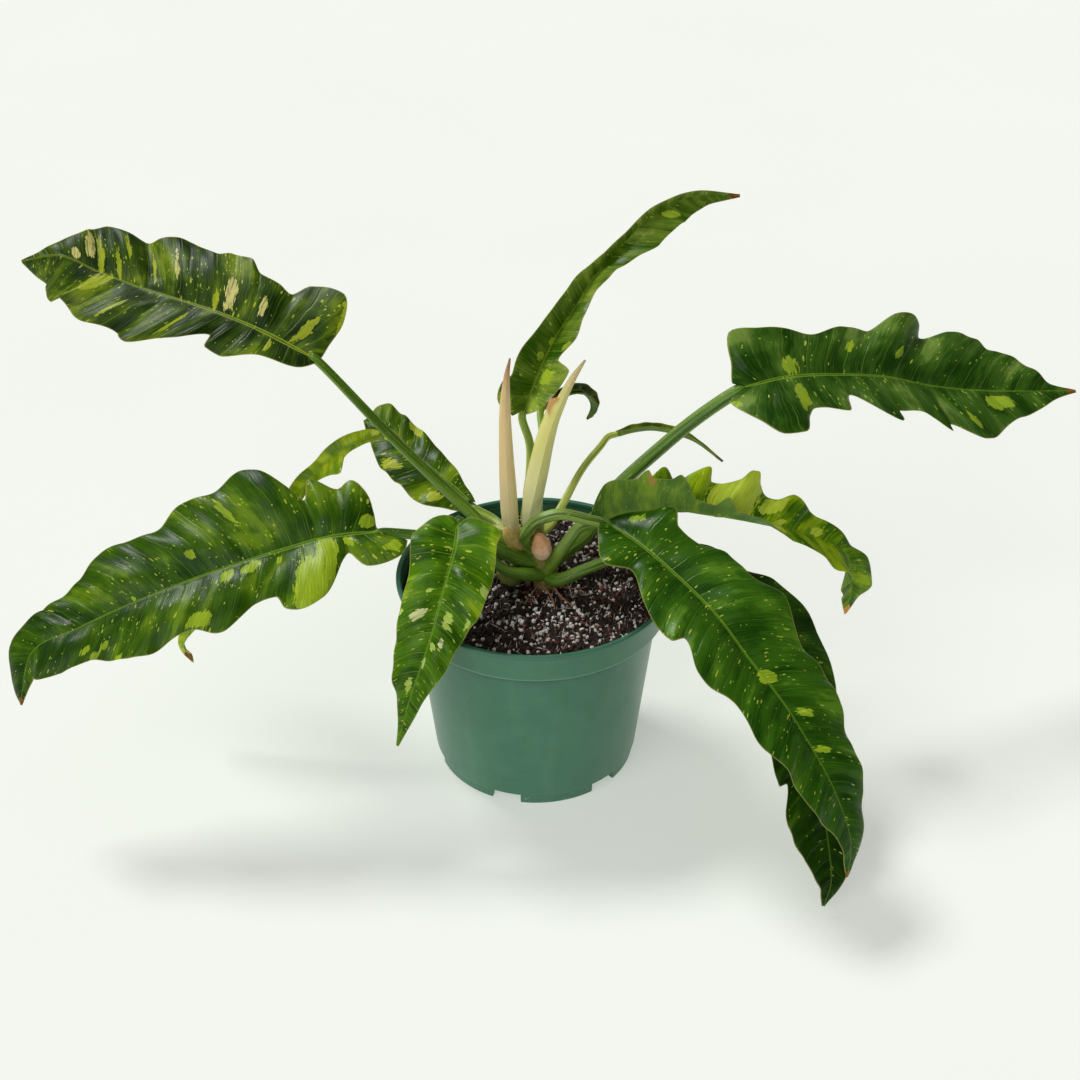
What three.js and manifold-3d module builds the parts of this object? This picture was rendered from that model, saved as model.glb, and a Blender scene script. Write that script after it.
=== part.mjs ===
// A potted ring of fire philodendron: a green grower pot filled with soil, a short
// leaning stem, a bud, two leaf sheaths and twelve leaves with lobed, wavy blades.
// Millimetres, +Z up, the origin on the pot's axis in the plane that its feet stand on.
import * as THREE from "three";
import { mergeVertices } from "three/addons/utils/BufferGeometryUtils.js";
import Module from "manifold-3d";

const wasm = await Module();
wasm.setup();

// Driving dimensions of the pot
const POT = {
  height: 127.5,
  rimRadius: 82.5,
  lipDepth: 2.4,
  bandTopRadius: 81.2,
  bandBottomRadius: 78.6,
  bandHeight: 20.5,
  neckRadius: 73,
  baseRadius: 60.5,
  wall: 1.6,
  floor: 2.2,
  footHeight: 7,
  footDepth: 4,
  feet: 6,
  centreFoot: 7,
  notchDegrees: 17,
  firstNotchDegrees: -107,
  drainRadius: 5,
  drainRing: 38,
  segments: 48,
};

// Driving dimensions of the soil
const SOIL = { rimGap: 9, mound: 3, clearance: 0.3, rings: 6, segments: 32, lump: 0.9 };

// Driving dimensions of the stem, from the soil's depth up to the crown
const STEM = {
  path: [[9, -11, 96], [7, -7, 120], [5, -3, 132], [2, 0, 144], [-2, 4, 156]],
  radii: [6, 6.6, 7.2, 7.6, 4.6],
  rings: 7,
  ringSwell: 0.7,
  sides: 14,
  steps: 28,
};
const BUD = { centre: [3.4, -9.4, 152.5], size: [5.4, 4.8, 8.2], tilt: 14 };

const SEAT = 0.35; // gap left between neighbours that touch
const BLADE = 0.8; // thickness of a leaf blade
const RIPPLE = { height: 2.4, waves: 7 }; // the margins' waves, along one blade
const MIDRIB = { half: 2.2, top: 0.9, under: 1.5 };
const VEIN_SWEEP = [[0, -62], [0.1, -5], [0.3, 25], [1, 42]];

const GREEN = "#2c4a26";
const LIME = "#a9bd4c";
const OLIVE = "#5c7434";

// Leaves. midrib: points in mm from the blade's base to its tip. face: the direction
// that the upper side looks in, by share of length. lift: degrees that each half rises
// from the midrib; bend: degrees that it then turns down. left and right: half widths
// in mm by share of length, seen from above looking to the tip. petiole: its points
// from the stem, its radius at the stem and at the blade.
const LEAVES = [
  {
    name: "upper_left",
    color: GREEN,
    midrib: [[-129, 50, 244], [-157, 62, 254], [-185, 75, 260], [-210, 88, 262], [-235, 100, 264],
      [-262, 112, 269], [-285, 121, 275], [-311, 128, 268]],
    face: [[0, 0, -0.5, 0.85], [1, -0.1, -0.5, 0.85]],
    lift: { left: [[0, 18], [0.68, 14], [0.74, -25], [1, -35]], right: [[0, 18], [1, 12]] },
    bend: { left: 25, right: 25 },
    left: [[0, 4], [0.05, 12], [0.12, 15], [0.19, 26], [0.225, 26], [0.245, 17], [0.29, 29],
      [0.34, 33], [0.39, 45], [0.485, 37], [0.56, 42], [0.65, 34], [0.69, 31], [0.71, 23],
      [0.74, 37], [0.79, 31], [0.86, 23], [0.93, 15], [1, 1]],
    right: [[0, 4], [0.03, 16], [0.05, 32], [0.075, 45], [0.115, 40], [0.138, 30], [0.16, 32],
      [0.2, 34], [0.225, 42], [0.27, 43], [0.31, 39], [0.42, 46], [0.54, 37], [0.66, 37],
      [0.76, 23], [0.88, 9], [1, 1]],
    petiole: {
      path: [[2, 0, 145], [-14, 3, 146], [-28, 8, 153], [-47, 18, 168], [-86, 35, 202]],
      radius: [4.4, 2.6],
    },
  },
  {
    name: "left",
    color: GREEN,
    midrib: [[-89, -25, 173], [-116, -29, 172], [-145, -34, 166], [-174, -40, 159],
      [-202, -46, 151], [-231, -52, 141], [-259, -59, 130], [-285, -65, 118], [-294, -75, 88]],
    face: [[0, -0.1, -0.5, 0.85], [1, -0.35, -0.5, 0.8]],
    lift: { left: [[0, 20], [1, 10]], right: [[0, 20], [1, 10]] },
    bend: { left: 30, right: 30 },
    left: [[0, 18], [0.03, 25], [0.07, 22], [0.09, 11], [0.105, 15], [0.15, 38], [0.185, 43],
      [0.215, 40], [0.24, 30], [0.28, 31], [0.34, 44], [0.43, 36], [0.52, 42], [0.61, 35],
      [0.7, 27], [0.79, 28], [0.88, 12], [1, 1]],
    right: [[0, 3], [0.02, 5], [0.045, 15], [0.065, 27], [0.085, 34], [0.1, 30], [0.14, 39],
      [0.155, 27], [0.17, 37], [0.2, 55], [0.225, 59], [0.29, 53], [0.345, 55], [0.44, 44],
      [0.54, 48], [0.64, 35], [0.77, 27], [0.89, 17], [0.96, 9], [1, 1]],
    petiole: {
      path: [[4, -2, 138], [-9, -7, 142], [-26, -14, 155], [-54, -22, 167]],
      radius: [4.6, 2.8],
    },
  },
  {
    name: "front",
    color: GREEN,
    midrib: [[-44, -25, 177], [-45, -38, 172], [-49, -52, 162], [-53, -64, 152], [-57, -75, 140],
      [-63, -84, 124], [-70, -91, 105], [-78, -97, 76]],
    face: [[0, 0, -0.4, 0.9], [1, -0.2, -0.7, 0.6]],
    lift: { left: [[0, 25], [1, 10]], right: [[0, 25], [1, 10]] },
    bend: { left: 40, right: 40 },
    left: [[0, 6], [0.045, 16], [0.095, 26], [0.12, 24], [0.18, 26], [0.29, 28], [0.365, 27],
      [0.475, 21], [0.66, 17], [0.76, 12], [0.87, 8], [1, 1]],
    right: [[0, 8], [0.06, 19], [0.12, 26], [0.25, 24], [0.44, 25], [0.56, 24], [0.68, 21],
      [0.76, 17], [0.84, 11], [0.92, 5], [1, 1]],
    petiole: {
      path: [[6, -5, 130], [-4, -14, 136], [-18, -22, 145], [-34, -20, 162]],
      radius: [4.2, 2.6],
    },
  },
  {
    name: "top",
    color: GREEN,
    midrib: [[-6, 60, 205], [2, 74, 221], [12, 88, 237], [24, 101, 251], [37, 114, 267],
      [54, 126, 282], [72, 138, 295], [97, 152, 300], [125, 165, 294]],
    face: [[0, 0, -0.6, 0.8], [0.6, 0, -0.6, 0.8], [1, 0.2, -0.5, 0.8]],
    lift: {
      left: [[0, 50], [0.45, 55], [0.55, 80], [0.85, 75], [1, 40]],
      right: [[0, 50], [0.5, 50], [0.62, 10], [1, 5]],
    },
    bend: { left: 25, right: 25 },
    left: [[0, 12], [0.045, 24], [0.07, 22], [0.09, 17], [0.13, 18], [0.25, 14], [0.42, 12],
      [0.5, 9], [0.6, 7], [0.8, 5], [0.9, 3], [1, 1]],
    right: [[0, 6], [0.045, 16], [0.11, 22], [0.14, 24], [0.175, 11], [0.24, 18], [0.32, 14],
      [0.42, 10], [0.47, 16], [0.56, 17], [0.62, 21], [0.7, 21], [0.8, 15], [0.9, 8], [1, 1]],
    petiole: {
      path: [[-1, 2, 153], [-5, 12, 158], [-4, 22, 166], [-3, 45, 186]],
      radius: [3.8, 2.4],
    },
  },
  {
    name: "curled_top",
    color: LIME,
    midrib: [[8, 90, 190], [18, 98, 193], [27, 105, 191], [33, 109, 184], [35, 110, 176],
      [32, 108, 169]],
    face: [[0, 0, -0.6, 0.8], [0.6, 0.6, -0.5, 0.6], [1, 0.8, -0.2, -0.5]],
    lift: { left: [[0, 40], [1, 40]], right: [[0, 40], [1, 40]] },
    bend: { left: -20, right: -20 },
    left: [[0, 3], [0.15, 5], [0.5, 6], [0.8, 4], [1, 1]],
    right: [[0, 3], [0.15, 6], [0.5, 8], [0.8, 5], [1, 1]],
    petiole: { path: [[-1, 3, 156], [1, 12, 157], [2, 38, 169], [4, 68, 181]], radius: [3.2, 2.2] },
  },
  {
    name: "right_upper",
    color: GREEN,
    midrib: [[124, 55, 222], [150, 63, 224], [180, 71, 221], [210, 79, 215], [239, 86, 205],
      [268, 91, 199], [302, 97, 195], [332, 101, 193]],
    face: [[0, 0, -0.5, 0.85], [1, 0.1, -0.5, 0.85]],
    lift: { left: [[0, 25], [1, 12]], right: [[0, 25], [1, 12]] },
    bend: { left: 30, right: 30 },
    left: [[0, 9], [0.04, 20], [0.07, 38], [0.105, 35], [0.17, 31], [0.205, 29], [0.26, 34],
      [0.33, 35], [0.385, 48], [0.42, 50], [0.445, 47], [0.465, 39], [0.525, 49], [0.615, 46],
      [0.68, 37], [0.745, 33], [0.82, 22], [0.91, 7], [1, 1]],
    right: [[0, 16], [0.055, 30], [0.085, 41], [0.12, 42], [0.145, 30], [0.17, 24], [0.245, 28],
      [0.28, 15], [0.35, 39], [0.4, 26], [0.5, 28], [0.54, 35], [0.56, 28], [0.6, 43], [0.65, 39],
      [0.725, 28], [0.83, 17], [0.94, 5], [1, 1]],
    petiole: {
      path: [[6, -3, 134], [18, 6, 139], [31, 12, 148], [45, 25, 167], [74, 42, 188],
        [97, 50, 205]],
      radius: [4.4, 4],
    },
  },
  {
    name: "right_middle",
    color: LIME,
    midrib: [[31, -2, 164], [58, 2, 170], [81, 6, 168], [103, 10, 162], [123, 14, 156],
      [145, 18, 148], [167, 22, 137], [185, 24, 126], [192, 23, 106], [190, 20, 83]],
    face: [[0, 0, -0.45, 0.9], [0.7, 0, -0.45, 0.9], [1, 0.5, -0.5, 0.7]],
    lift: {
      left: [[0, 25], [1, 15]],
      right: [[0, 125], [0.12, 115], [0.37, 100], [0.48, 70], [0.56, 20], [1, 5]],
    },
    bend: { left: 25, right: 10 },
    left: [[0, 7], [0.1, 10], [0.13, 12], [0.155, 20], [0.18, 27], [0.21, 20], [0.24, 26],
      [0.27, 31], [0.29, 23], [0.37, 28], [0.385, 34], [0.405, 34], [0.43, 27], [0.5, 21],
      [0.53, 26], [0.6, 20], [0.69, 15], [0.765, 10], [0.81, 17], [0.875, 17], [0.92, 10], [1, 1]],
    right: [[0, 27], [0.07, 24], [0.11, 24], [0.138, 29], [0.152, 23], [0.19, 23], [0.215, 27],
      [0.24, 22], [0.27, 13], [0.33, 9], [0.355, 17], [0.41, 9], [0.5, 10], [0.585, 13],
      [0.63, 19], [0.69, 22], [0.78, 20], [0.885, 12], [1, 1]],
    petiole: { path: [[6, -6, 134], [13, -8, 146], [19, -5, 153]], radius: [4.4, 3.2] },
  },
  {
    name: "front_right",
    color: GREEN,
    midrib: [[44, -14, 170], [62, -33, 167], [81, -53, 160], [100, -75, 151], [117, -96, 137],
      [134, -115, 123], [149, -131, 105], [162, -144, 85], [172, -155, 59], [172, -161, 36]],
    face: [[0, 0.15, -0.45, 0.85], [1, 0.5, -0.6, 0.6]],
    lift: { left: [[0, 25], [1, 12]], right: [[0, 25], [1, 12]] },
    bend: { left: 35, right: 35 },
    left: [[0, 6], [0.06, 20], [0.1, 31], [0.125, 24], [0.165, 26], [0.205, 35], [0.255, 35],
      [0.315, 44], [0.42, 37], [0.47, 39], [0.61, 32], [0.75, 25], [0.87, 12], [1, 1]],
    right: [[0, 8], [0.05, 17], [0.1, 27], [0.13, 17], [0.195, 30], [0.24, 36], [0.28, 37],
      [0.3, 29], [0.36, 37], [0.47, 29], [0.525, 33], [0.62, 27], [0.75, 23], [0.845, 12], [1, 1]],
    petiole: {
      path: [[0, 0, 146], [-6, -8, 158], [0, -9, 169], [14, -8, 174], [30, -9, 171]],
      radius: [3.8, 3.2],
    },
  },
  {
    name: "lower_right",
    color: GREEN,
    midrib: [[64, -4, 142], [91, -20, 133], [116, -38, 117], [137, -58, 96], [152, -80, 73],
      [161, -103, 52], [165, -128, 33], [166, -146, 19], [162, -154, 7]],
    face: [[0, 0.15, -0.4, 0.9], [1, 0.4, -0.5, 0.7]],
    lift: { left: [[0, 20], [1, 10]], right: [[0, 20], [1, 10]] },
    bend: { left: 30, right: 30 },
    left: [[0, 8], [0.1, 26], [0.165, 32], [0.2, 42], [0.25, 45], [0.34, 42], [0.45, 31],
      [0.6, 24], [0.78, 15], [0.9, 6], [1, 1]],
    right: [[0, 6], [0.1, 22], [0.3, 28], [0.49, 30], [0.54, 30], [0.56, 22], [0.61, 32],
      [0.68, 27], [0.81, 14], [0.9, 7], [1, 1]],
    petiole: {
      path: [[6, -6, 129], [14, -14, 132], [28, -14, 139], [44, -9, 143]],
      radius: [4, 3],
    },
  },
  {
    name: "short_back_left",
    color: GREEN,
    midrib: [[-41, 48, 147], [-54, 60, 153], [-68, 73, 158], [-84, 87, 162], [-96, 99, 165],
      [-107, 110, 167]],
    face: [[0, 0.1, -0.5, 0.85], [1, 0, -0.5, 0.85]],
    lift: { left: [[0, 20], [1, 10]], right: [[0, 20], [1, 10]] },
    bend: { left: 30, right: 30 },
    left: [[0, 8], [0.08, 14], [0.15, 23], [0.25, 25], [0.42, 24], [0.62, 16], [0.74, 11],
      [0.88, 6], [1, 1]],
    right: [[0, 5], [0.08, 6], [0.21, 11], [0.35, 15], [0.48, 21], [0.6, 23], [0.8, 22], [0.9, 15],
      [1, 1]],
    petiole: { path: [[2, 2, 142], [-12, 10, 143], [-24, 26, 147]], radius: [3.6, 2.4] },
  },
  {
    name: "narrow_left",
    color: LIME,
    midrib: [[-91, 37, 200], [-112, 31, 194], [-131, 25, 178], [-149, 20, 153], [-170, 15, 126],
      [-195, 12, 97], [-215, 10, 72], [-211, 8, 55]],
    face: [[0, -0.3, -0.5, 0.8], [1, -0.5, -0.5, 0.7]],
    lift: { left: [[0, 30], [1, 20]], right: [[0, 30], [1, 20]] },
    bend: { left: 20, right: 20 },
    left: [[0, 2], [0.1, 4], [0.15, 6], [0.17, 18], [0.21, 12], [0.28, 6], [0.5, 8], [0.75, 7],
      [0.9, 5], [1, 1]],
    right: [[0, 3], [0.05, 6], [0.1, 7], [0.22, 7], [0.3, 8], [0.45, 9], [0.7, 7], [0.9, 4],
      [1, 1]],
    petiole: {
      path: [[-2, 4, 150], [-14, 10, 151], [-28, 15, 150], [-47, 25, 164], [-72, 34, 186]],
      radius: [3, 2.2],
    },
  },
  {
    name: "young_rolled",
    color: OLIVE,
    midrib: [[50, 74, 179], [61, 80, 178], [73, 86, 175], [87, 92, 168], [101, 96, 159],
      [117, 98, 144]],
    face: [[0, 0, -0.4, 0.9], [1, 0.2, -0.4, 0.9]],
    lift: { left: [[0, 50], [1, 40]], right: [[0, 50], [1, 40]] },
    bend: { left: -40, right: -40 },
    left: [[0, 2.5], [0.2, 4.5], [0.5, 4.5], [0.65, 3.5], [0.8, 2], [1, 1]],
    right: [[0, 2.5], [0.2, 5], [0.5, 5], [0.65, 3.5], [0.8, 2], [1, 1]],
    petiole: {
      path: [[-2, 3, 150], [10, 13, 155], [27, 43, 171], [39, 60, 178]],
      radius: [2.8, 2],
    },
  },
];

// Leaf sheaths: narrow blades whose halves curl up into a half tube.
const SHEATHS = [
  {
    name: "sheath_tan",
    color: "#c08a5a",
    midrib: [[-8, 3, 147], [-14, -1, 161], [-16, -1, 191], [-17, 0, 232], [-16, 2, 256],
      [-14, 4, 269]],
    face: [[0, 0, -1, 0.1], [1, 0, -1, 0.1]],
    lift: { left: [[0, -5], [1, -5]], right: [[0, -5], [1, -5]] },
    bend: { left: 100, right: 100 },
    left: [[0, 6], [0.12, 9], [0.3, 10], [0.6, 7], [0.85, 3], [1, 1]],
    right: [[0, 5], [0.12, 7], [0.3, 10], [0.6, 7], [0.85, 3], [1, 1]],
  },
  {
    name: "sheath_cream",
    color: "#c9cf8a",
    midrib: [[-3, -2, 155], [-4, -1, 165], [2, 3, 194], [8, 8, 219], [15, 12, 237], [21, 15, 249],
      [28, 18, 260]],
    face: [[0, 0.1, -1, 0.1], [1, 0.1, -1, 0.1]],
    lift: { left: [[0, -8], [1, -8]], right: [[0, -8], [1, -8]] },
    bend: { left: 60, right: 60 },
    left: [[0, 3], [0.15, 4.5], [0.3, 9], [0.55, 8], [0.6, 9], [0.66, 4.5], [0.85, 3], [1, 1]],
    right: [[0, 4], [0.1, 7], [0.2, 10], [0.4, 8.5], [0.6, 6], [0.8, 4], [1, 1]],
  },
];

const toVector = ([x, y, z]) => new THREE.Vector3(x, y, z);
const radians = THREE.MathUtils.degToRad;

function curveThrough(points) {
  return new THREE.CatmullRomCurve3(points.map(toVector), false, "catmullrom", 0.5);
}

// Value at t of rows [t, value], with straight lines between them.
function valueAt(rows, t) {
  const next = rows.findIndex((row) => row[0] >= t);
  if (next <= 0) return rows[Math.max(next, 0)][1];
  const [a, b] = [rows[next - 1], rows[next]];
  return a[1] + ((b[1] - a[1]) * (t - a[0])) / (b[0] - a[0]);
}

function faceAt(rows, t) {
  const pick = (k) => valueAt(rows.map((row) => [row[0], row[k]]), t);
  return new THREE.Vector3(pick(1), pick(2), pick(3));
}

// Solids and meshes
function solidOf(geometry) {
  geometry.deleteAttribute("normal");
  geometry.deleteAttribute("uv");
  const merged = mergeVertices(geometry, 1e-4);
  return new wasm.Manifold(
    new wasm.Mesh({
      numProp: 3,
      vertProperties: merged.attributes.position.array,
      triVerts: new Uint32Array(merged.index.array),
    }),
  );
}

function solidFrom(vertices, triangles) {
  const geometry = new THREE.BufferGeometry();
  geometry.setAttribute("position", new THREE.Float32BufferAttribute(vertices.flat(), 3));
  geometry.setIndex(triangles.flat());
  return solidOf(geometry);
}

function largestBody(solid) {
  const bodies = solid.decompose();
  return bodies.reduce((best, body) => (body.volume() > best.volume() ? body : best));
}

function meshOf(name, solid, color, roughness) {
  const { vertProperties, triVerts } = solid.getMesh();
  const geometry = new THREE.BufferGeometry();
  geometry.setAttribute("position", new THREE.BufferAttribute(vertProperties, 3));
  geometry.setIndex(new THREE.BufferAttribute(triVerts, 1));
  geometry.computeVertexNormals();
  const material = new THREE.MeshStandardMaterial({ color, roughness, metalness: 0 });
  const mesh = new THREE.Mesh(geometry, material);
  mesh.name = name;
  return mesh;
}

// A round bar along a curve. radiusAt gives its radius by share of length.
function barAlong(curve, radiusAt, steps, sides) {
  const frames = curve.computeFrenetFrames(steps, false);
  const vertices = [];
  for (let i = 0; i <= steps; i++) {
    const t = i / steps;
    const centre = curve.getPointAt(t);
    for (let j = 0; j < sides; j++) {
      const angle = (2 * Math.PI * j) / sides;
      const spoke = frames.normals[i].clone().multiplyScalar(Math.cos(angle));
      spoke.addScaledVector(frames.binormals[i], Math.sin(angle));
      vertices.push(centre.clone().addScaledVector(spoke, radiusAt(t)).toArray());
    }
  }
  const first = vertices.push(curve.getPointAt(0).toArray()) - 1;
  const last = vertices.push(curve.getPointAt(1).toArray()) - 1;
  const triangles = [];
  for (let j = 0; j < sides; j++) {
    const k = (j + 1) % sides;
    for (let i = 0; i < steps; i++) {
      const row = i * sides;
      triangles.push([row + j, row + k, row + sides + k], [row + j, row + sides + k, row + sides + j]);
    }
    triangles.push([first, k, j], [last, steps * sides + j, steps * sides + k]);
  }
  return solidFrom(vertices, triangles);
}

// Leaf blades
function bladeFrame(leaf, curve, t) {
  const tangent = curve.getTangent(t).normalize();
  const normal = faceAt(leaf.face, t);
  normal.addScaledVector(tangent, -normal.dot(tangent)).normalize();
  const left = new THREE.Vector3().crossVectors(normal, tangent);
  return { origin: curve.getPoint(t), tangent, normal, left };
}

// Point of the middle surface: across runs from -1 (right margin) over 0 (midrib) to 1
// (left margin), and also the surface's own direction there.
function bladePoint(leaf, frame, t, across) {
  const side = across < 0 ? "right" : "left";
  const sweep = radians(valueAt(VEIN_SWEEP, t));
  const out = frame.left.clone().multiplyScalar(Math.sign(across) * Math.cos(sweep));
  out.addScaledVector(frame.tangent, Math.sin(sweep));
  const reach = Math.abs(across);
  const lift = radians(valueAt(leaf.lift[side], t));
  const bend = radians(leaf.bend[side]) * reach;
  const half = Math.sin(bend / 2) / (bend / 2 || 1) || 1;
  const run = Math.cos(lift - bend / 2) * (bend ? half : 1);
  const rise = Math.sin(lift - bend / 2) * (bend ? half : 1);
  const width = valueAt(leaf[side], t) * reach;
  const wave = Math.sin(2 * Math.PI * RIPPLE.waves * t + (across < 0 ? 0 : 2.1));
  const ripple = RIPPLE.height * wave * reach ** 2 * Math.min(1, valueAt(leaf[side], t) / 25);
  const point = frame.origin.clone().addScaledVector(out, width * run);
  return point.addScaledVector(frame.normal, width * rise + ripple);
}

// Shares of length where the blade gets a row: every point of both outlines, and more
// where they lie far apart.
function stations(leaf) {
  const marks = [...leaf.left, ...leaf.right].map((row) => row[0]).sort((a, b) => a - b);
  const rows = marks.filter((t, i) => i === 0 || t - marks[i - 1] > 0.011);
  rows[rows.length - 1] = 1;
  const longest = 0.1;
  return rows.flatMap((t, i) => {
    const step = (rows[i + 1] ?? t) - t;
    return step > longest ? [t, t + step / 2] : [t];
  });
}

// One closed body: the same grid on the upper and the lower side, with the midrib's
// ridge on both, joined by a rim.
function bladeSolid(leaf) {
  const curve = curveThrough(leaf.midrib);
  const rows = stations(leaf);
  const upper = [];
  const lower = [];
  for (const t of rows) {
    const frame = bladeFrame(leaf, curve, t);
    const ridge = 1 - 0.75 * t;
    const columns = (side) => {
      const width = valueAt(leaf[side], t);
      return [Math.min((MIDRIB.half * ridge) / width, 0.4), 0.62, 1];
    };
    const shares = [...columns("right").reverse().map((s) => -s), 0, ...columns("left")];
    const line = shares.map((share) => bladePoint(leaf, frame, t, share));
    line.forEach((point, k) => {
      const before = line[Math.max(k - 1, 0)];
      const after = line[Math.min(k + 1, line.length - 1)];
      const across = after.clone().sub(before);
      const middle = shares[k] === 0;
      const slant = new THREE.Vector3().crossVectors(frame.tangent, across).normalize();
      const normal = middle ? frame.normal : slant;
      const up = middle ? BLADE / 2 + MIDRIB.top * ridge : BLADE / 2;
      const down = middle ? BLADE / 2 + MIDRIB.under * ridge : BLADE / 2;
      upper.push(point.clone().addScaledVector(normal, up).toArray());
      lower.push(point.clone().addScaledVector(normal, -down).toArray());
    });
  }
  return gridSolid(upper, lower, rows.length, 7);
}

function gridSolid(upper, lower, rowCount, columnCount) {
  const base = upper.length;
  const triangles = [];
  for (let i = 0; i + 1 < rowCount; i++) {
    for (let k = 0; k + 1 < columnCount; k++) {
      const a = i * columnCount + k;
      const [b, c, d] = [a + 1, a + columnCount + 1, a + columnCount];
      triangles.push([a, c, b], [a, d, c]);
      triangles.push([base + a, base + b, base + c], [base + a, base + c, base + d]);
    }
  }
  const rim = [];
  for (let k = 0; k + 1 < columnCount; k++) rim.push(k);
  for (let i = 0; i + 1 < rowCount; i++) rim.push(i * columnCount + columnCount - 1);
  for (let k = columnCount - 1; k > 0; k--) rim.push((rowCount - 1) * columnCount + k);
  for (let i = rowCount - 1; i > 0; i--) rim.push(i * columnCount);
  rim.forEach((a, i) => {
    const b = rim[(i + 1) % rim.length];
    triangles.push([a, b, base + a], [b, base + b, base + a]);
  });
  return solidFrom([...upper, ...lower], triangles);
}

// Petioles: from the stem to just under the base of the blade's midrib.
function petioleCurve(leaf) {
  const curve = curveThrough(leaf.midrib);
  const { origin, tangent, normal } = bladeFrame(leaf, curve, 0);
  const end = leaf.petiole.radius[1];
  const drop = BLADE / 2 + MIDRIB.under + SEAT + end;
  const under = (along, down) =>
    origin.clone().addScaledVector(tangent, along).addScaledVector(normal, -down).toArray();
  return curveThrough([...leaf.petiole.path, under(-6, drop + 0.6), under(2, drop)]);
}

function petioleSolid(leaf, extra, steps, sides) {
  const [start, end] = leaf.petiole.radius;
  const radiusAt = (t) => extra + end + (start - end) * (1 - t) ** 2;
  return barAlong(petioleCurve(leaf), radiusAt, steps, sides);
}

// Stem with its ring scars
function stemSolid(extra) {
  const rows = STEM.radii.map((radius, i) => [i / (STEM.radii.length - 1), radius]);
  const swell = (t) => STEM.ringSwell * Math.max(0, Math.cos(2 * Math.PI * STEM.rings * t)) ** 4;
  const radiusAt = (t) => valueAt(rows, t) + swell(t) + extra;
  return barAlong(curveThrough(STEM.path), radiusAt, STEM.steps, STEM.sides);
}

function budSolid(extra) {
  const ball = new THREE.SphereGeometry(1, 14, 10);
  ball.rotateX(Math.PI / 2);
  ball.scale(...BUD.size.map((half) => half + extra));
  ball.rotateY(radians(-BUD.tilt));
  ball.translate(...BUD.centre);
  return solidOf(ball);
}

// Pot
function potProfile() {
  const { height, bandHeight, wall, floor, footHeight, footDepth } = POT;
  const ledge = height - bandHeight;
  return [
    [0, 0],
    [POT.centreFoot, 0],
    [POT.centreFoot + 1.5, footHeight],
    [POT.baseRadius - footDepth - 1.5, footHeight],
    [POT.baseRadius - footDepth, 0],
    [POT.baseRadius - 0.8, 0],
    [POT.baseRadius, 0.8],
    [POT.baseRadius + 1, footHeight],
    [POT.neckRadius, ledge - 1.2],
    [POT.bandBottomRadius - 0.6, ledge],
    [POT.bandBottomRadius, ledge + 0.8],
    [POT.bandTopRadius, height - POT.lipDepth],
    [POT.rimRadius, height - POT.lipDepth + 0.6],
    [POT.rimRadius, height - 0.6],
    [POT.rimRadius - 0.6, height],
    [POT.bandTopRadius - wall, height - 0.4],
    [POT.bandBottomRadius - wall, ledge + 2],
    [POT.neckRadius - wall, ledge - 0.2],
    [POT.baseRadius + 1 - wall, footHeight + floor],
    [0, footHeight + floor],
  ];
}

function lathe(profile, segments) {
  const points = profile.map(([r, z]) => new THREE.Vector2(r, z));
  const geometry = new THREE.LatheGeometry(points, segments);
  geometry.rotateX(Math.PI / 2);
  return solidOf(geometry);
}

function cutters() {
  const solids = [];
  for (let i = 0; i < POT.feet; i++) {
    const angle = radians(POT.firstNotchDegrees + (360 / POT.feet) * i);
    const width = 2 * POT.baseRadius * Math.sin(radians(POT.notchDegrees / 2));
    const notch = new THREE.BoxGeometry(20, width, 2 * POT.footHeight - 1);
    notch.translate(POT.baseRadius - 2, 0, 0);
    notch.rotateZ(angle);
    const drain = new THREE.CylinderGeometry(POT.drainRadius, POT.drainRadius, 12, 16);
    drain.rotateX(Math.PI / 2);
    drain.translate(POT.drainRing, 0, POT.footHeight + POT.floor / 2);
    drain.rotateZ(angle + radians(180 / POT.feet));
    solids.push(solidOf(notch), solidOf(drain));
  }
  return solids;
}

function potSolid() {
  return cutters().reduce((pot, cutter) => pot.subtract(cutter), lathe(potProfile(), POT.segments));
}

// Soil: fills the pot, with a lumpy, slightly mounded top.
function soilSolid() {
  const { height, bandHeight, wall, floor, footHeight } = POT;
  const gap = wall + SOIL.clearance;
  const ledge = height - bandHeight;
  const top = height - SOIL.rimGap;
  const bottom = footHeight + floor + SOIL.clearance;
  const edge = POT.bandBottomRadius - gap;
  const profile = [
    [0, bottom],
    [POT.baseRadius + 0.7 - gap, bottom],
    [POT.neckRadius - gap - 0.2, ledge - 0.2],
    [edge, ledge + 2.4],
    [edge, top - 1.5],
  ];
  for (let ring = SOIL.rings; ring >= 1; ring--) {
    const share = (ring / (SOIL.rings + 1)) ** 0.9;
    profile.push([edge * share, top + SOIL.mound * (1 - share * share)]);
  }
  profile.push([0, top + SOIL.mound]);
  const geometry = new THREE.LatheGeometry(
    profile.map(([r, z]) => new THREE.Vector2(r, z)),
    SOIL.segments,
  );
  geometry.rotateX(Math.PI / 2);
  geometry.deleteAttribute("normal");
  geometry.deleteAttribute("uv");
  const merged = mergeVertices(geometry, 1e-4);
  const position = merged.attributes.position;
  for (let i = 0; i < position.count; i++) {
    const [x, y, z] = [position.getX(i), position.getY(i), position.getZ(i)];
    if (z < top - 0.5) continue;
    const lump = Math.sin(0.42 * x + 1.3) * Math.cos(0.37 * y) + Math.sin(0.19 * x - 0.55 * y);
    position.setZ(i, z + SOIL.lump * lump);
  }
  return solidOf(merged);
}

// Assembly. Each piece is cut back from those before it, so that neighbours at the
// crowded crown lie side by side with a small gap.
const plant = new THREE.Group();
const taken = [];

function place(name, solid, spread, color, roughness) {
  const clear = taken.reduce((rest, other) => rest.subtract(other), solid);
  taken.push(spread);
  plant.add(meshOf(name, largestBody(clear), color, roughness));
}

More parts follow.
